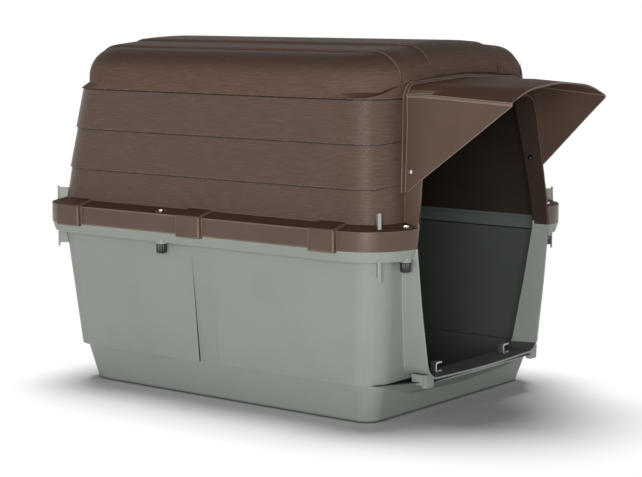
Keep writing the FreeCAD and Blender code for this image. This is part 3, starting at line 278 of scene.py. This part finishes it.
# %% [markdown]
# ## Brown polypropylene with a moulded wood grain
#
# The lid's mould was engraved with long wavy streaks, so the plastic looks like sawn boards.
# On the walls the streaks run level, round the corners too. On the roof they run from front
# to back. A noise pattern is stretched into streaks by giving it few steps along the board
# and many across it: about 34 mm long and 1.9 mm wide here. The real streaks are finer, too
# fine for this picture. A slow sway bends them a little. Which of the two directions is used
# depends on whether the surface faces sideways or up.

# %% Wood grain
STREAK_LENGTH = 34.0
STREAK_WIDTH = 1.9
SWAY_SIZE = 1000.0 / 9
SWAY_HEIGHT = 12.0
ROOF_FROM, ROOF_TO = 0.75, 0.95


def facing_up(material):
    """How far the surface turns upward: 0 on a wall, 1 on a level roof."""
    normal = add_node(material, "TexCoord").outputs["Normal"]
    return add_node(material, "SeparateXYZ", links={"Vector": normal}).outputs["Z"]


def streaks(material, place, across, length, width):
    """Stretched noise: streaks of that length and width in mm, narrow along one axis."""
    scale = [1.0 / (length * MM)] * 3
    scale[across] = 1.0 / (width * MM)
    stretched = add_node(material, "Mapping", {"Scale": scale}, {"Vector": place})
    noise = add_node(material, "TexNoise", {"Scale": 1.0, "Detail": 3.0, "Roughness": 0.62},
                     {"Vector": stretched.outputs["Vector"]})
    return noise.outputs["Fac"]


def wood_grain(material, place):
    """Height of the engraved grain: level streaks on walls, lengthwise ones on the roof."""
    sway = add_node(material, "TexNoise", {"Scale": 1.0 / (SWAY_SIZE * MM), "Detail": 1.0},
                    {"Vector": place})
    bend = add_node(material, "VectorMath",
                    {"operation": "MULTIPLY_ADD", 1: (0.0, 0.0, SWAY_HEIGHT * MM)},
                    {0: sway.outputs["Color"], 2: place})
    on_walls = streaks(material, bend.outputs[0], 2, STREAK_LENGTH, STREAK_WIDTH)
    on_roof = streaks(material, bend.outputs[0], 0, STREAK_LENGTH, STREAK_WIDTH)
    upward = add_node(material, "MapRange", {"From Min": ROOF_FROM, "From Max": ROOF_TO},
                      {"Value": facing_up(material)})
    both = add_node(material, "Mix", {"data_type": "FLOAT"},
                    {0: upward.outputs["Result"], 2: on_walls, 3: on_roof})
    return both.outputs[0]


print("streaks: %.0f mm long, %.1f mm wide" % (STREAK_LENGTH, STREAK_WIDTH))

# %% [markdown]
# ## The laps of the boards
#
# The boards lap over each other like cladding. Each one ends in a small step, which shows as
# a thin line of painted shade with a broken line of painted highlight on the edge above it.
# The steps are in the solid already, so the material only paints their shade and highlight
# at the same three heights. Towards the doorway the step runs out, and the lines lift a
# little and fade.

# %% Painted shade and highlight at the laps
LAP_HEIGHTS = (660.0, 571.5, 483.0)
LAP_SHADES = (0.85, 0.60, 0.60)
LAP_SHADE_HEIGHT, LAP_HIGHLIGHT_HEIGHT = 2.8, 1.4
LAP_LIFT = 7.0
LIFT_FROM, LIFT_TO = -0.418, -0.448
FADE_FROM, FADE_TO = -0.436, -0.449
HIGHLIGHT_SPOT = 5.0
HIGHLIGHT_NONE, HIGHLIGHT_FULL, HIGHLIGHT_SHARE = 0.52, 0.66, 0.60
SHADE_HUE, HIGHLIGHT_HUE = "#140d09", "#a5978d"


def lapped_boards(material, place, colour):
    """Colour with a painted shade line under each lap and a broken painted highlight on its edge.
    """
    parts = add_node(material, "SeparateXYZ", links={"Vector": place})
    lift = add_node(material, "MapRange",
                    {"interpolation_type": "SMOOTHSTEP", "From Min": LIFT_FROM,
                     "From Max": LIFT_TO, "To Max": LAP_LIFT * MM}, {"Value": parts.outputs["Y"]})
    height = add_node(material, "Math", {"operation": "SUBTRACT"},
                      {0: parts.outputs["Z"], 1: lift.outputs["Result"]}).outputs[0]
    present = add_node(material, "MapRange",
                       {"interpolation_type": "SMOOTHSTEP", "From Min": FADE_TO,
                        "From Max": FADE_FROM}, {"Value": parts.outputs["Y"]})
    # noise breaks up the painted highlight on each lap's edge
    highlight_breaks = add_node(material, "TexNoise",
                     {"Scale": 1.0 / (HIGHLIGHT_SPOT * MM), "Detail": 4.0, "Roughness": 0.7},
                     {"Vector": place})
    broken_highlight = add_node(material, "MapRange",
                    {"From Min": HIGHLIGHT_NONE, "From Max": HIGHLIGHT_FULL, "To Max": HIGHLIGHT_SHARE},
                    {"Value": highlight_breaks.outputs["Fac"]})
    for lap, shade in zip(LAP_HEIGHTS, LAP_SHADES):
        line = add_node(material, "Math", {"operation": "MULTIPLY", 1: shade},
                        {0: band(material, height, lap - LAP_SHADE_HEIGHT, lap)})
        under = add_node(material, "Math", {"operation": "MULTIPLY"},
                         {0: line.outputs[0], 1: present.outputs["Result"]})
        # painted shade under the lap, then a painted highlight on its edge
        shaded = add_node(material, "Mix", {"data_type": "RGBA", 7: to_linear(SHADE_HUE)},
                          {0: under.outputs[0], 6: colour})
        edge = add_node(material, "Math", {"operation": "MULTIPLY"},
                        {0: band(material, height, lap, lap + LAP_HIGHLIGHT_HEIGHT),
                         1: broken_highlight.outputs["Result"]})
        lit = add_node(material, "Mix", {"data_type": "RGBA", 7: to_linear(HIGHLIGHT_HUE)},
                       {0: edge.outputs[0], 6: shaded.outputs[2]})
        colour = lit.outputs[2]
    return colour


print("laps at", LAP_HEIGHTS, "mm")

# %% [markdown]
# ## The lid's three finishes
#
# Walls, cap and rounded edges are one moulding, but they don't look alike. The cap above the
# highest board was never polished, and dust dulls it, so it has hardly any shine: a shiny
# roof would mirror the bright studio at this flat angle and turn grey. Its colour also
# darkens towards the top, a painted shade. The change of finish hides in the line of the
# highest lap. The edges are smoother, and paler as a painted highlight.

# %% Lid plastic
GRAIN_SPECULAR = 0.24
DULL_SPECULAR = 0.04
LID_GRAIN_SIZE, LID_GRAIN_DEPTH = 1.1, 0.04
RELIEF_STRENGTH = 0.8
# painted shade on faces that turn upward
TOP_SHADE_FROM, TOP_SHADE_TO, TOP_SHADE_HUE = 0.25, 0.95, "#2a1b12"
LID_SHINE_SPREAD = (0.05, 0.08)


def painted_top_shade(material, colour, share):
    """Painted shade: colour that darkens smoothly, by up to that share, where the surface turns
    upward.
    """
    turned = add_node(material, "MapRange",
                      {"interpolation_type": "SMOOTHSTEP", "From Min": TOP_SHADE_FROM,
                       "From Max": TOP_SHADE_TO, "To Max": share}, {"Value": facing_up(material)})
    mixed = add_node(material, "Mix", {"data_type": "RGBA", 7: to_linear(TOP_SHADE_HUE)},
                     {0: turned.outputs["Result"], 6: colour})
    return mixed.outputs[2]


def lid_polypropylene(name, steps, roughness, depth, specular=GRAIN_SPECULAR, top_shade=0.0):
    """Moulded brown plastic with engraved wood grain of that depth in mm, painted shade and
    highlight at the laps, and painted shade towards the top by a share.
    """
    material, output = new_material(name)
    place, grain, skin = eroded_grain(material, LID_GRAIN_SIZE, LID_GRAIN_DEPTH)
    wood = wood_grain(material, place)
    relief = add_node(material, "Bump", {"Strength": RELIEF_STRENGTH, "Distance": depth * MM},
                      {"Height": wood, "Normal": skin.outputs["Normal"]})
    shine = add_node(material, "MapRange",
                     {"To Min": roughness - LID_SHINE_SPREAD[0],
                      "To Max": roughness + LID_SHINE_SPREAD[1]}, {"Value": wood})
    stain = add_node(material, "ValToRGB", {"steps": steps}, {"Fac": wood})
    boards = lapped_boards(material, place, stain.outputs["Color"])
    return finish_material(
        material, output, {"IOR": POLYPROPYLENE_IOR, "Specular IOR Level": specular},
        {"Base Color": painted_top_shade(material, boards, top_shade),
         "Roughness": shine.outputs["Result"], "Normal": relief.outputs["Normal"]})


lid_plastic = lid_polypropylene(
    "lid_polypropylene_wood_grain",
    ((0.32, "#57443a"), (0.74, "#68544a"), (0.5, "#5f4b41")), 0.36, 1.7)
# cap: darker towards the top, a painted shade
lid_cap_shaded_plastic = lid_polypropylene(
    "lid_polypropylene_cap_top_shade",
    ((0.32, "#5f4b40"), (0.74, "#715c50"), (0.5, "#685347")), 0.50, 1.4,
    DULL_SPECULAR, top_shade=0.6)
# edges: paler than the walls, a painted highlight
lid_highlight_edge_plastic = lid_polypropylene(
    "lid_polypropylene_edges_painted_highlight",
    ((0.32, "#635046"), (0.74, "#725f54"), (0.5, "#6a574c")), 0.38, 0.6)

# %% [markdown]
# ## The awning, the flange and the lid's inside
#
# The awning and the lid's flange are the same brown plastic with a plainer surface: a fine
# pitted skin and no wood grain, so they take a smoother and slightly stronger shine. Their
# upper faces are as dull as the roof and darker, a painted shade. Their edges are paler, a
# painted highlight. The lid's inside is dull and darkened with painted shade, and the
# doorway's jamb has nearly as dark a painted shade. The four upright fins on the lid are
# grey, so they get a grey of their own.

# %% Plain plastic
PLAIN_GRAIN_DEPTH = 0.06
PLAIN_CLOUD_SIZE = 1000.0 / 11
PLAIN_SHINE_SPREAD = 0.05
EDGE_SPECULAR = 0.12


def plain_polypropylene(name, steps, roughness, specular=SKIN_SPECULAR):
    """Moulded plastic with only the fine eroded skin."""
    material, output = new_material(name)
    place, grain, skin = eroded_grain(material, GRAIN_SIZE, PLAIN_GRAIN_DEPTH)
    clouds = add_node(material, "TexNoise",
                      {"Scale": 1.0 / (PLAIN_CLOUD_SIZE * MM), "Detail": 2.0}, {"Vector": place})
    shine = add_node(material, "MapRange",
                     {"To Min": roughness - PLAIN_SHINE_SPREAD,
                      "To Max": roughness + PLAIN_SHINE_SPREAD},
                     {"Value": grain.outputs["Fac"]})
    ramp = add_node(material, "ValToRGB", {"steps": steps}, {"Fac": clouds.outputs["Fac"]})
    return finish_material(
        material, output, {"IOR": POLYPROPYLENE_IOR, "Specular IOR Level": specular},
        {"Base Color": ramp.outputs["Color"], "Roughness": shine.outputs["Result"],
         "Normal": skin.outputs["Normal"]})


awning_plastic = plain_polypropylene(
    "awning_polypropylene", ((0.3, "#58453a"), (0.7, "#5e4b40")), 0.44)
# awning edges: paler, a painted highlight
awning_highlight_edge_plastic = plain_polypropylene(
    "awning_polypropylene_edges_painted_highlight", ((0.3, "#8a776b"), (0.7, "#938075")), 0.34)
flange_plastic = plain_polypropylene(
    "flange_polypropylene", ((0.3, "#5b483d"), (0.7, "#624f44")), 0.34)
# flange edges: paler, a painted highlight
flange_highlight_edge_plastic = plain_polypropylene(
    "flange_polypropylene_edges_painted_highlight", ((0.3, "#77645a"), (0.7, "#7f6c61")), 0.36, EDGE_SPECULAR)
# inside, upward faces and jamb: darker colours as painted shade
lid_inside_shaded_plastic = plain_polypropylene(
    "lid_polypropylene_inside_painted_shade", ((0.3, "#2a211c"), (0.7, "#302620")), 0.60)
top_shaded_brown_plastic = plain_polypropylene(
    "brown_polypropylene_facing_up_painted_shade", ((0.3, "#4c362b"), (0.7, "#543d31")), 0.60, DULL_SPECULAR)
jamb_shaded_plastic = plain_polypropylene(
    "jamb_polypropylene_painted_shade", ((0.3, "#382b24"), (0.7, "#40322a")), 0.50)
fin_plastic = plain_polypropylene(
    "fin_polypropylene", ((0.3, "#a3a49e"), (0.7, "#b0b1ab")), 0.45)

# %% [markdown]
# ## Black nylon, steel and the catches
#
# The hand nuts are glass-filled nylon: nearly black, IOR 1.53, with a gloss that picks out
# each rib. The bolts are bright zinc-plated steel. The sill catches are plated too, but
# duller, in a grey close to the tub's. Plating leaves faint blotches, about 6 mm wide here.

# %% Fastener materials
NYLON_IOR, NYLON_ROUGHNESS = 1.53, 0.27
NYLON_GRAIN_SIZE, NYLON_GRAIN_DEPTH = 0.5, 0.03
ZINC_GRAIN_SIZE, ZINC_GRAIN_DEPTH = 0.8, 0.02
BLOTCH_SIZE = 6.25
ZINC_SHINE_SPREAD = (0.08, 0.10)


def nylon(name):
    """Glass-filled black nylon, moulded."""
    material, output = new_material(name)
    place, grain, skin = eroded_grain(material, NYLON_GRAIN_SIZE, NYLON_GRAIN_DEPTH)
    ramp = add_node(material, "ValToRGB", {"steps": ((0.3, "#070708"), (0.7, "#0f1010"))},
                    {"Fac": grain.outputs["Fac"]})
    return finish_material(
        material, output, {"IOR": NYLON_IOR, "Roughness": NYLON_ROUGHNESS},
        {"Base Color": ramp.outputs["Color"], "Normal": skin.outputs["Normal"]})


def zinc_plated_steel(name, dark, light, roughness):
    """Zinc-plated steel, with faint blotches."""
    material, output = new_material(name)
    place, grain, skin = eroded_grain(material, ZINC_GRAIN_SIZE, ZINC_GRAIN_DEPTH)
    blotches = add_node(material, "TexNoise", {"Scale": 1.0 / (BLOTCH_SIZE * MM), "Detail": 2.0},
                        {"Vector": place})
    shine = add_node(material, "MapRange",
                     {"To Min": roughness - ZINC_SHINE_SPREAD[0],
                      "To Max": roughness + ZINC_SHINE_SPREAD[1]},
                     {"Value": blotches.outputs["Fac"]})
    ramp = add_node(material, "ValToRGB", {"steps": ((0.3, dark), (0.7, light))},
                    {"Fac": blotches.outputs["Fac"]})
    return finish_material(
        material, output, {"Metallic": 1.0},
        {"Base Color": ramp.outputs["Color"], "Roughness": shine.outputs["Result"],
         "Normal": skin.outputs["Normal"]})


nut_nylon = nylon("nut_black_nylon")
bolt_steel = zinc_plated_steel("bolt_zinc_steel", "#b4b4b0", "#cfcfcb", 0.26)
catch_steel = zinc_plated_steel("catch_zinc", "#a9aeab", "#c2c6c3", 0.40)

# %% [markdown]
# ## Softened mould edges
#
# A solid model meets in knife edges, but a mould never makes one: every outer edge is
# rounded by about a millimetre, and that thin round is what catches the light and tells the
# eye that this is plastic. The loaded solids must stay as they are, so each big piece is a
# copy: its doubled points are joined, its sharp edges are bevelled, and the bevel takes a
# slightly brighter material, a painted highlight along the edge. Smooth shading would bend
# the light on the large flat faces beside a bevel, so a weighted normal modifier keeps those
# flat.

# %% Let a piece stand for a solid
node_body = {node: body for body, nodes in frame["record"]["behaviour"]["bodies"].items()
             for node in nodes}


def dress(piece, node):
    """Let a piece stand for a solid: same body, and the solid is hidden."""
    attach(piece, node_body[node])
    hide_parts(node)


def new_piece(name, mesh, node):
    """An object in the scene, made from a mesh, that stands for a solid."""
    piece = bpy.data.objects.new(name, mesh)
    scene.collection.objects.link(piece)
    dress(piece, node)
    return piece


print("solids by body:", node_body)

# %% Smooth shading with crisp edges


def bent_by(edge, degrees):
    """Whether an edge joins two faces that turn by more than that."""
    return len(edge.link_faces) == 2 and edge.calc_face_angle(0.0) > math.radians(degrees)


def shade(mesh, sharp_above):
    """Smooth shading that keeps edges sharper than that angle, in degrees."""
    shaped = bmesh.new()
    shaped.from_mesh(mesh)
    for edge in shaped.edges:
        edge.smooth = len(edge.link_faces) == 2 and not bent_by(edge, sharp_above)
    for face in shaped.faces:
        face.smooth = True
    shaped.to_mesh(mesh)
    shaped.free()


# %% Copy a solid with softened edges
DOUBLES = 0.02
SHARP = 32.0
STILL_SHARP = 40.0
BROAD_WIDTH, BROAD_SHORTEST, BROAD_SHARP = 3.0, 14.0, 60.0
LARGE_FACE_WEIGHT = 100


def bare_copy(node, name, materials):
    """A copy of a solid's mesh without its own shading, with those materials."""
    mesh = frame["nodes"][node].data.copy()
    mesh.name = name
    if "custom_normal" in mesh.attributes:
        mesh.attributes.remove(mesh.attributes["custom_normal"])
    mesh.materials.clear()
    for material in materials:
        mesh.materials.append(material)
    return mesh


def round_edges(shaped, chosen, width, segments, slot):
    """Bevel the chosen edges by a width in mm and give the bevels a material slot."""
    bmesh.ops.bevel(shaped, geom=chosen, offset=width * MM, offset_type="OFFSET",
                    segments=segments, profile=0.5, affect="EDGES", clamp_overlap=False,
                    material=slot)


def soften(node, name, width, materials, edges=0, shortest=1.5, skip=None, broad=None):
    """A copy of a solid with its sharp edges rounded by a width in mm, in slot edges.

    Edges under the shortest length, in mm, are left. The rule skip picks points whose edges
    stay as they are. The rule broad picks points whose long edges are rounded more broadly
    first.
    """
    mesh = bare_copy(node, name, materials)
    shaped = bmesh.new()
    shaped.from_mesh(mesh)
    bmesh.ops.remove_doubles(shaped, verts=shaped.verts, dist=DOUBLES * MM)
    if broad:
        wide = [edge for edge in shaped.edges
                if edge.calc_length() > BROAD_SHORTEST * MM and bent_by(edge, BROAD_SHARP)
                and all(broad(vert.co) for vert in edge.verts)]
        round_edges(shaped, wide, BROAD_WIDTH, 3, edges)
        print(name, len(wide), "edges rounded broadly")
    chosen = [edge for edge in shaped.edges
              if edge.calc_length() > shortest * MM and bent_by(edge, SHARP)
              and not (skip and any(skip(vert.co) for vert in edge.verts))]
    round_edges(shaped, chosen, width, 2, edges)
    shaped.to_mesh(mesh)
    shaped.free()
    shade(mesh, STILL_SHARP)
    piece = new_piece(name, mesh, node)
    weighted = piece.modifiers.new("flat faces stay flat", "WEIGHTED_NORMAL")
    weighted.weight = LARGE_FACE_WEIGHT
    weighted.keep_sharp = True
    print(name, len(chosen), "edges rounded,", len(mesh.polygons), "faces")
    return piece


# %% Choose a finish for each face


def repaint(piece, choose):
    """Give each face the slot that a rule picks from its corners, normal and present slot."""
    verts = piece.data.vertices
    for face in piece.data.polygons:
        corners = [verts[index].co for index in face.vertices]
        face.material_index = choose(corners, face.center, face.normal, face.material_index)
    used = sorted({face.material_index for face in piece.data.polygons})
    print(piece.name, "uses finishes", used)


# %% [markdown]
# ## The tub
#
# The tub is one moulding, but its inside is darkened with painted shade. A rule tells the
# faces apart by where they are and which way they look. The top of the sill, where the
# catches stand, gets the same painted shade as the inside. The fins at the four corners stand
# outside the shell's rounded corner, so that the rule can tell them from the wall.

# %% Tub
CABIN_MIDDLE = Vector((0.0, 0.0, 0.36))
WALL_HALF_WIDTH, WALL_HALF_LENGTH, WALL = 0.340, 0.450, 0.004
CORNER_X, CORNER_Y, CORNER_RADIUS = 0.268, 0.378, 0.0735
SLACK = 0.001
FRAME_BACK, SILL_TOP = -0.392, 0.125
LEVEL = 0.6
LUG_FRONT, LUG_TOP = -0.452, 0.118
TUB_SKINS = {"outside": tub_plastic, "edge": tub_highlight_edge_plastic, "inside": tub_inside_shaded_plastic}


def at_fins(point):
    """Whether a point is further out than the round of the shell's corner."""
    across, along = abs(point.x) - CORNER_X, abs(point.y) - CORNER_Y
    return across > 0.0 and along > 0.0 and math.hypot(across, along) > CORNER_RADIUS


def faces_cabin(corners, middle, normal):
    """Whether a whole face belongs to the inside of the cabin."""
    wide, long = WALL_HALF_WIDTH - WALL + SLACK, WALL_HALF_LENGTH - WALL + SLACK
    return (all(abs(corner.x) < wide and abs(corner.y) < long for corner in corners)
            and not at_fins(middle) and normal.dot(CABIN_MIDDLE - middle) > 0.0)


def tub_slots(corners, middle, normal, slot):
    """Tub: plain skin, edges with a painted highlight, and painted shade inside and on the sill.
    """
    on_sill = middle.y < FRAME_BACK and middle.z < SILL_TOP and normal.z > LEVEL
    # painted shade inside the cabin and on the sill's top
    dark = on_sill or faces_cabin(corners, middle, normal)
    return list(TUB_SKINS).index("inside") if dark else slot


def at_lugs(point):
    """The small lugs under the doorway, too thin for a round."""
    return point.y < LUG_FRONT and point.z < LUG_TOP


tub = soften("base_shell", "tub_moulding", 1.0, TUB_SKINS.values(),
             edges=list(TUB_SKINS).index("edge"), skip=at_lugs)
repaint(tub, tub_slots)

# %% [markdown]
# ## The lid
#
# The lid shows nine finishes: grained walls, the dull cap with painted shade towards the top,
# the plain flange with its duller top in darker painted shade, the inside and jamb darkened
# with painted shade, the grey fins, and two kinds of edges paler with a painted highlight.
# Each face gets its own by the same kind of rule. The blocks on the flange are thick, so
# their long edges have a broad round of 3 mm.

# %% Lid
FLANGE_TOP = 0.4142
FIN_LIFT = 0.0022
JAMB_REACH = 0.262
TURNED_IN = 0.5
FACING_UP = 0.55
CAP_FOOT = 0.6595
FLANGE_INSET, FLANGE_RISE = 0.006, 0.010
LID_SKINS = {"wall": lid_plastic, "flange": flange_plastic, "inside": lid_inside_shaded_plastic,
             "fin": fin_plastic, "edge": lid_highlight_edge_plastic, "flange_edge": flange_highlight_edge_plastic,
             "cap": lid_cap_shaded_plastic, "flange_top": top_shaded_brown_plastic, "jamb": jamb_shaded_plastic}


def beyond_wall(point, margin):
    """Whether a point is further out than the walls by a margin."""
    return (abs(point.x) > WALL_HALF_WIDTH + margin
            or abs(point.y) > WALL_HALF_LENGTH + margin)


def lid_slots(corners, middle, normal, slot):
    """The slot of a face of the lid, by where it is and how it faces."""
    turned_in = normal.x * middle.x < -TURNED_IN * abs(middle.x)
    in_frame = (abs(middle.x) < JAMB_REACH
                and max(corner.y for corner in corners) < FRAME_BACK)
    # inside, jamb and flange_top take colours darkened as painted shade; the edge skins are
    # painted highlights
    if faces_cabin(corners, middle, normal):
        skin = "inside"
    elif middle.z > FLANGE_TOP + FIN_LIFT and at_fins(middle):
        skin = "fin"
    elif in_frame and turned_in:
        skin = "jamb"
    elif beyond_wall(middle, SLACK) or middle.z < FLANGE_TOP:
        skin = "flange_top" if normal.z > FACING_UP else ("flange", "flange_edge")[slot != 0]
    elif min(corner.z for corner in corners) > CAP_FOOT:
        skin = "cap"
    else:
        skin = ("wall", "edge")[slot != 0]
    return list(LID_SKINS).index(skin)


def at_flange(point):
    """The outer part of the lid's flange with its blocks."""
    return beyond_wall(point, FLANGE_INSET) and point.z < FLANGE_TOP + FLANGE_RISE


lid = soften("lid_shell", "lid_moulding", 1.2, LID_SKINS.values(),
             edges=list(LID_SKINS).index("edge"), broad=at_flange)
repaint(lid, lid_slots)

# %% [markdown]
# ## The awning
#
# The awning is a thinner moulding with finer rounds. The bright line along its folds is the
# round of the fold, paler as a painted highlight. Its top is as dull as the roof and darker,
# a painted shade.

# %% Awning
AWNING_SKINS = {"side": awning_plastic, "edge": awning_highlight_edge_plastic, "top": top_shaded_brown_plastic}


def awning_slots(corners, middle, normal, slot):
    """Awning: plain skin, edges with a painted highlight, and a dull top in darker painted shade.
    """
    # the top takes the darker painted shade
    on_top = slot == 0 and normal.z > FACING_UP
    return list(AWNING_SKINS).index("top") if on_top else slot


awning = soften("awning", "awning_moulding", 0.9, AWNING_SKINS.values(),
                edges=list(AWNING_SKINS).index("edge"))
repaint(awning, awning_slots)

# %% [markdown]
# ## Bolts and catches
#
# The heads, shanks and dome nuts are turned or pressed, and the catches are bent from strip.
# All get the same treatment as the mouldings, with a finer round of about half a millimetre.

# %% Dress the small metal parts
soften("flange_bolts", "flange_bolt_set", 0.5, [bolt_steel], shortest=0.3)
soften("awning_bolts", "awning_bolt_pair", 0.4, [bolt_steel], shortest=0.3)
soften("awning_nuts", "awning_dome_nut_pair", 0.4, [nut_nylon], shortest=0.3)
soften("sill_catch_left", "sill_catch_near", 0.6, [catch_steel], shortest=0.5)
soften("sill_catch_right", "sill_catch_far", 0.6, [catch_steel], shortest=0.5)

# %% [markdown]
# ## Hand nuts
#
# The nut is a thimble of nylon with sixteen rounded ribs, so that a hand can turn it
# without a spanner. The solid has plain pointed ribs. Here the thimble is built in rings: up
# the bore, across the flat face under the boss, over a small round, down the ribbed skirt
# and into the domed end. The bore stays open at the top for the bolt.

# %% Build a hand nut
RIBS = 16
STEPS_PER_RIB = 8
BORE = 3.06
RIB_DEPTH = 1.0
RIB_ROUNDNESS = 1.6
NUT_SHARP = 50.0

# height below the top face and radius inside the ribs' tips in mm, and how deep the ribs are
# (inside None is the bore)
NUT_RINGS = ((14.0, None, 0.0), (0.0, None, 0.0), (0.0, 2.4, 0.0), (0.15, 1.2, 0.1),
             (0.7, 0.35, 0.6), (1.5, 0.0, 1.0), (16.6, 0.0, 1.0), (17.6, 0.25, 0.9),
             (18.6, 0.9, 0.5), (19.4, 2.0, 0.1), (19.85, 3.4, 0.0), (20.0, 5.6, 0.0))


def rib_radius(outer, inside, ribbed, turn):
    """Radius in mm of a ring of the nut at a turn: the bore's, or the ribbed skirt's."""
    if inside is None:
        return BORE
    groove = RIB_DEPTH * (0.5 - 0.5 * math.cos(turn * RIBS)) ** RIB_ROUNDNESS
    return outer - inside - ribbed * groove


def hand_nut(node):
    """A ribbed nylon nut in place of a plain one."""
    low, high = [Vector(corner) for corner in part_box(node)]
    middle = (low + high) / 2.0
    outer = (high.x - low.x) / 2.0 / MM
    count = RIBS * STEPS_PER_RIB
    shaped = bmesh.new()
    rings = []
    for drop, inside, ribbed in NUT_RINGS:
        ring = []
        for step in range(count):
            turn = 2.0 * math.pi * step / count
            radius = rib_radius(outer, inside, ribbed, turn) * MM
            ring.append(shaped.verts.new((middle.x + radius * math.cos(turn),
                                          middle.y + radius * math.sin(turn),
                                          high.z - drop * MM)))
        rings.append(ring)
    for upper, lower in zip(rings, rings[1:]):
        for step in range(count):
            following = (step + 1) % count
            shaped.faces.new((upper[step], lower[step], lower[following], upper[following]))
    shaped.faces.new(rings[0])
    shaped.faces.new(reversed(rings[-1]))
    bmesh.ops.recalc_face_normals(shaped, faces=shaped.faces)
    mesh = bpy.data.meshes.new("hand_" + node)
    shaped.to_mesh(mesh)
    shaped.free()
    mesh.materials.append(nut_nylon)
    shade(mesh, NUT_SHARP)
    return new_piece("hand_" + node, mesh, node)


nuts = [hand_nut(node) for node in frame["nodes"] if node.startswith("nut_")]
print("hand nuts:", len(nuts))

# %% [markdown]
# ## The floor
#
# The photograph is a studio cut-out: white all round, with a soft grey shadow. The floor is
# white for what the camera sees and an ordinary pale floor for the light that it bounces, so
# the shadow stays and the object isn't lit from below by a glowing sheet. Its white is worked
# out from the light that falls on it, so that the open floor is just white.

# %% Floor
FLOOR_REACH = 40.0
SHADOW_LIGHT = 0.80
AMBIENT = 0.20
JUST_WHITE = 1.03
FLOOR_WHITE = JUST_WHITE / (SHADOW_LIGHT + AMBIENT)
BOUNCE = 0.6
floor_mesh = bpy.data.meshes.new("studio_floor")
floor_mesh.from_pydata([(-FLOOR_REACH, -FLOOR_REACH, 0.0), (FLOOR_REACH, -FLOOR_REACH, 0.0),
                        (FLOOR_REACH, FLOOR_REACH, 0.0), (-FLOOR_REACH, FLOOR_REACH, 0.0)],
                       [], [(0, 1, 2, 3)])
floor = bpy.data.objects.new("studio_floor", floor_mesh)
scene.collection.objects.link(floor)


def seen_or_reflected(owner):
    """1 for rays that the camera sees, directly, in gloss or through glass."""
    path = add_node(owner, "LightPath")
    first = add_node(owner, "Math", {"operation": "MAXIMUM"},
                     {0: path.outputs["Is Camera Ray"], 1: path.outputs["Is Glossy Ray"]})
    return add_node(owner, "Math", {"operation": "MAXIMUM"},
                    {0: first.outputs[0], 1: path.outputs["Is Transmission Ray"]}).outputs[0]


floor_paint, floor_output = new_material("studio_floor_paint")
bounce = add_node(floor_paint, "BsdfDiffuse", {"Color": (BOUNCE, BOUNCE, BOUNCE, 1.0)})
shown = add_node(floor_paint, "BsdfDiffuse",
                 {"Color": (FLOOR_WHITE, FLOOR_WHITE, FLOOR_WHITE, 1.0)})
floor_mix = add_node(floor_paint, "MixShader", links={
    0: seen_or_reflected(floor_paint), 1: bounce.outputs["BSDF"], 2: shown.outputs["BSDF"]})
floor_paint.node_tree.links.new(floor_mix.outputs["Shader"], floor_output.inputs["Surface"])
floor_mesh.materials.append(floor_paint)
print("floor white: %.2f" % FLOOR_WHITE)

# %% [markdown]
# ## The light
#
# The main soft box stands low, near the camera and a little to its left: the near corner is
# the brightest, the long side next, the doorway side darker and everything that faces up
# darkest. A lamp that low would throw its shadow out of sight behind the object, so light
# linking lets it light the object alone, and an overhead lamp, slightly behind, lights the
# floor alone and draws the soft shadow in front.

# %% World
WHITE = (1.0, 1.0, 1.0, 1.0)
world = bpy.data.worlds.new("studio")
scene.world = world
world.use_nodes = True
world.node_tree.nodes.clear()
ambient = add_node(world, "Background", {"Color": WHITE, "Strength": AMBIENT})
backdrop = add_node(world, "Background", {"Color": WHITE, "Strength": 1.0})
world_mix = add_node(world, "MixShader", links={
    0: seen_or_reflected(world), 1: ambient.outputs["Background"],
    2: backdrop.outputs["Background"]})
add_node(world, "OutputWorld", links={"Surface": world_mix.outputs["Shader"]})
print("ambient light:", AMBIENT)

# %% Lamps
KEY_PLACE, KEY_AIM = (-5.04, -3.24, 0.80), (0.0, 0.0, 0.32)
KEY_SIZE, KEY_WATTS = 2.4, 250.0
OVERHEAD_FROM, OVERHEAD_HEIGHT = Vector((0.15, 0.14, 1.0)), 4.0
OVERHEAD_SOFTNESS = 33.0


def aim_at(lamp, name, place, aim):
    """Put a lamp in the scene, turned to a point."""
    holder = bpy.data.objects.new(name, lamp)
    holder.location = place
    holder.rotation_euler = (Vector(aim) - Vector(place)).to_track_quat("-Z", "Y").to_euler()
    scene.collection.objects.link(holder)
    return holder


def linked_to_floor(name, state):
    """A light-linking group with the floor in it, lit or left out."""
    group = bpy.data.collections.new(name)
    group.objects.link(floor)
    group.collection_objects[0].light_linking.link_state = state
    return group


key_lamp = bpy.data.lights.new("key_soft_box", "AREA")
key_lamp.size = KEY_SIZE
key_lamp.energy = KEY_WATTS
key = aim_at(key_lamp, "key_soft_box", KEY_PLACE, KEY_AIM)
key.light_linking.receiver_collection = linked_to_floor("all_but_the_floor", "EXCLUDE")

overhead_lamp = bpy.data.lights.new("overhead_soft_light", "SUN")
overhead_lamp.angle = math.radians(OVERHEAD_SOFTNESS)
overhead_lamp.energy = SHADOW_LIGHT * math.pi / OVERHEAD_FROM.normalized().z
overhead = aim_at(overhead_lamp, "overhead_soft_light", OVERHEAD_FROM * OVERHEAD_HEIGHT,
                  (0.0, 0.0, 0.0))
overhead.light_linking.receiver_collection = linked_to_floor("the_floor_alone", "INCLUDE")
scene.view_settings.view_transform = "Standard"
print("lamps:", key.name, overhead.name)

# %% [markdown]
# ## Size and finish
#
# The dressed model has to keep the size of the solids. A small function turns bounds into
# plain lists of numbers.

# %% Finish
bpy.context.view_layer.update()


def plain(bounds):
    """Bounds as plain lists of numbers."""
    return [[round(float(value), 6) for value in corner] for corner in bounds]
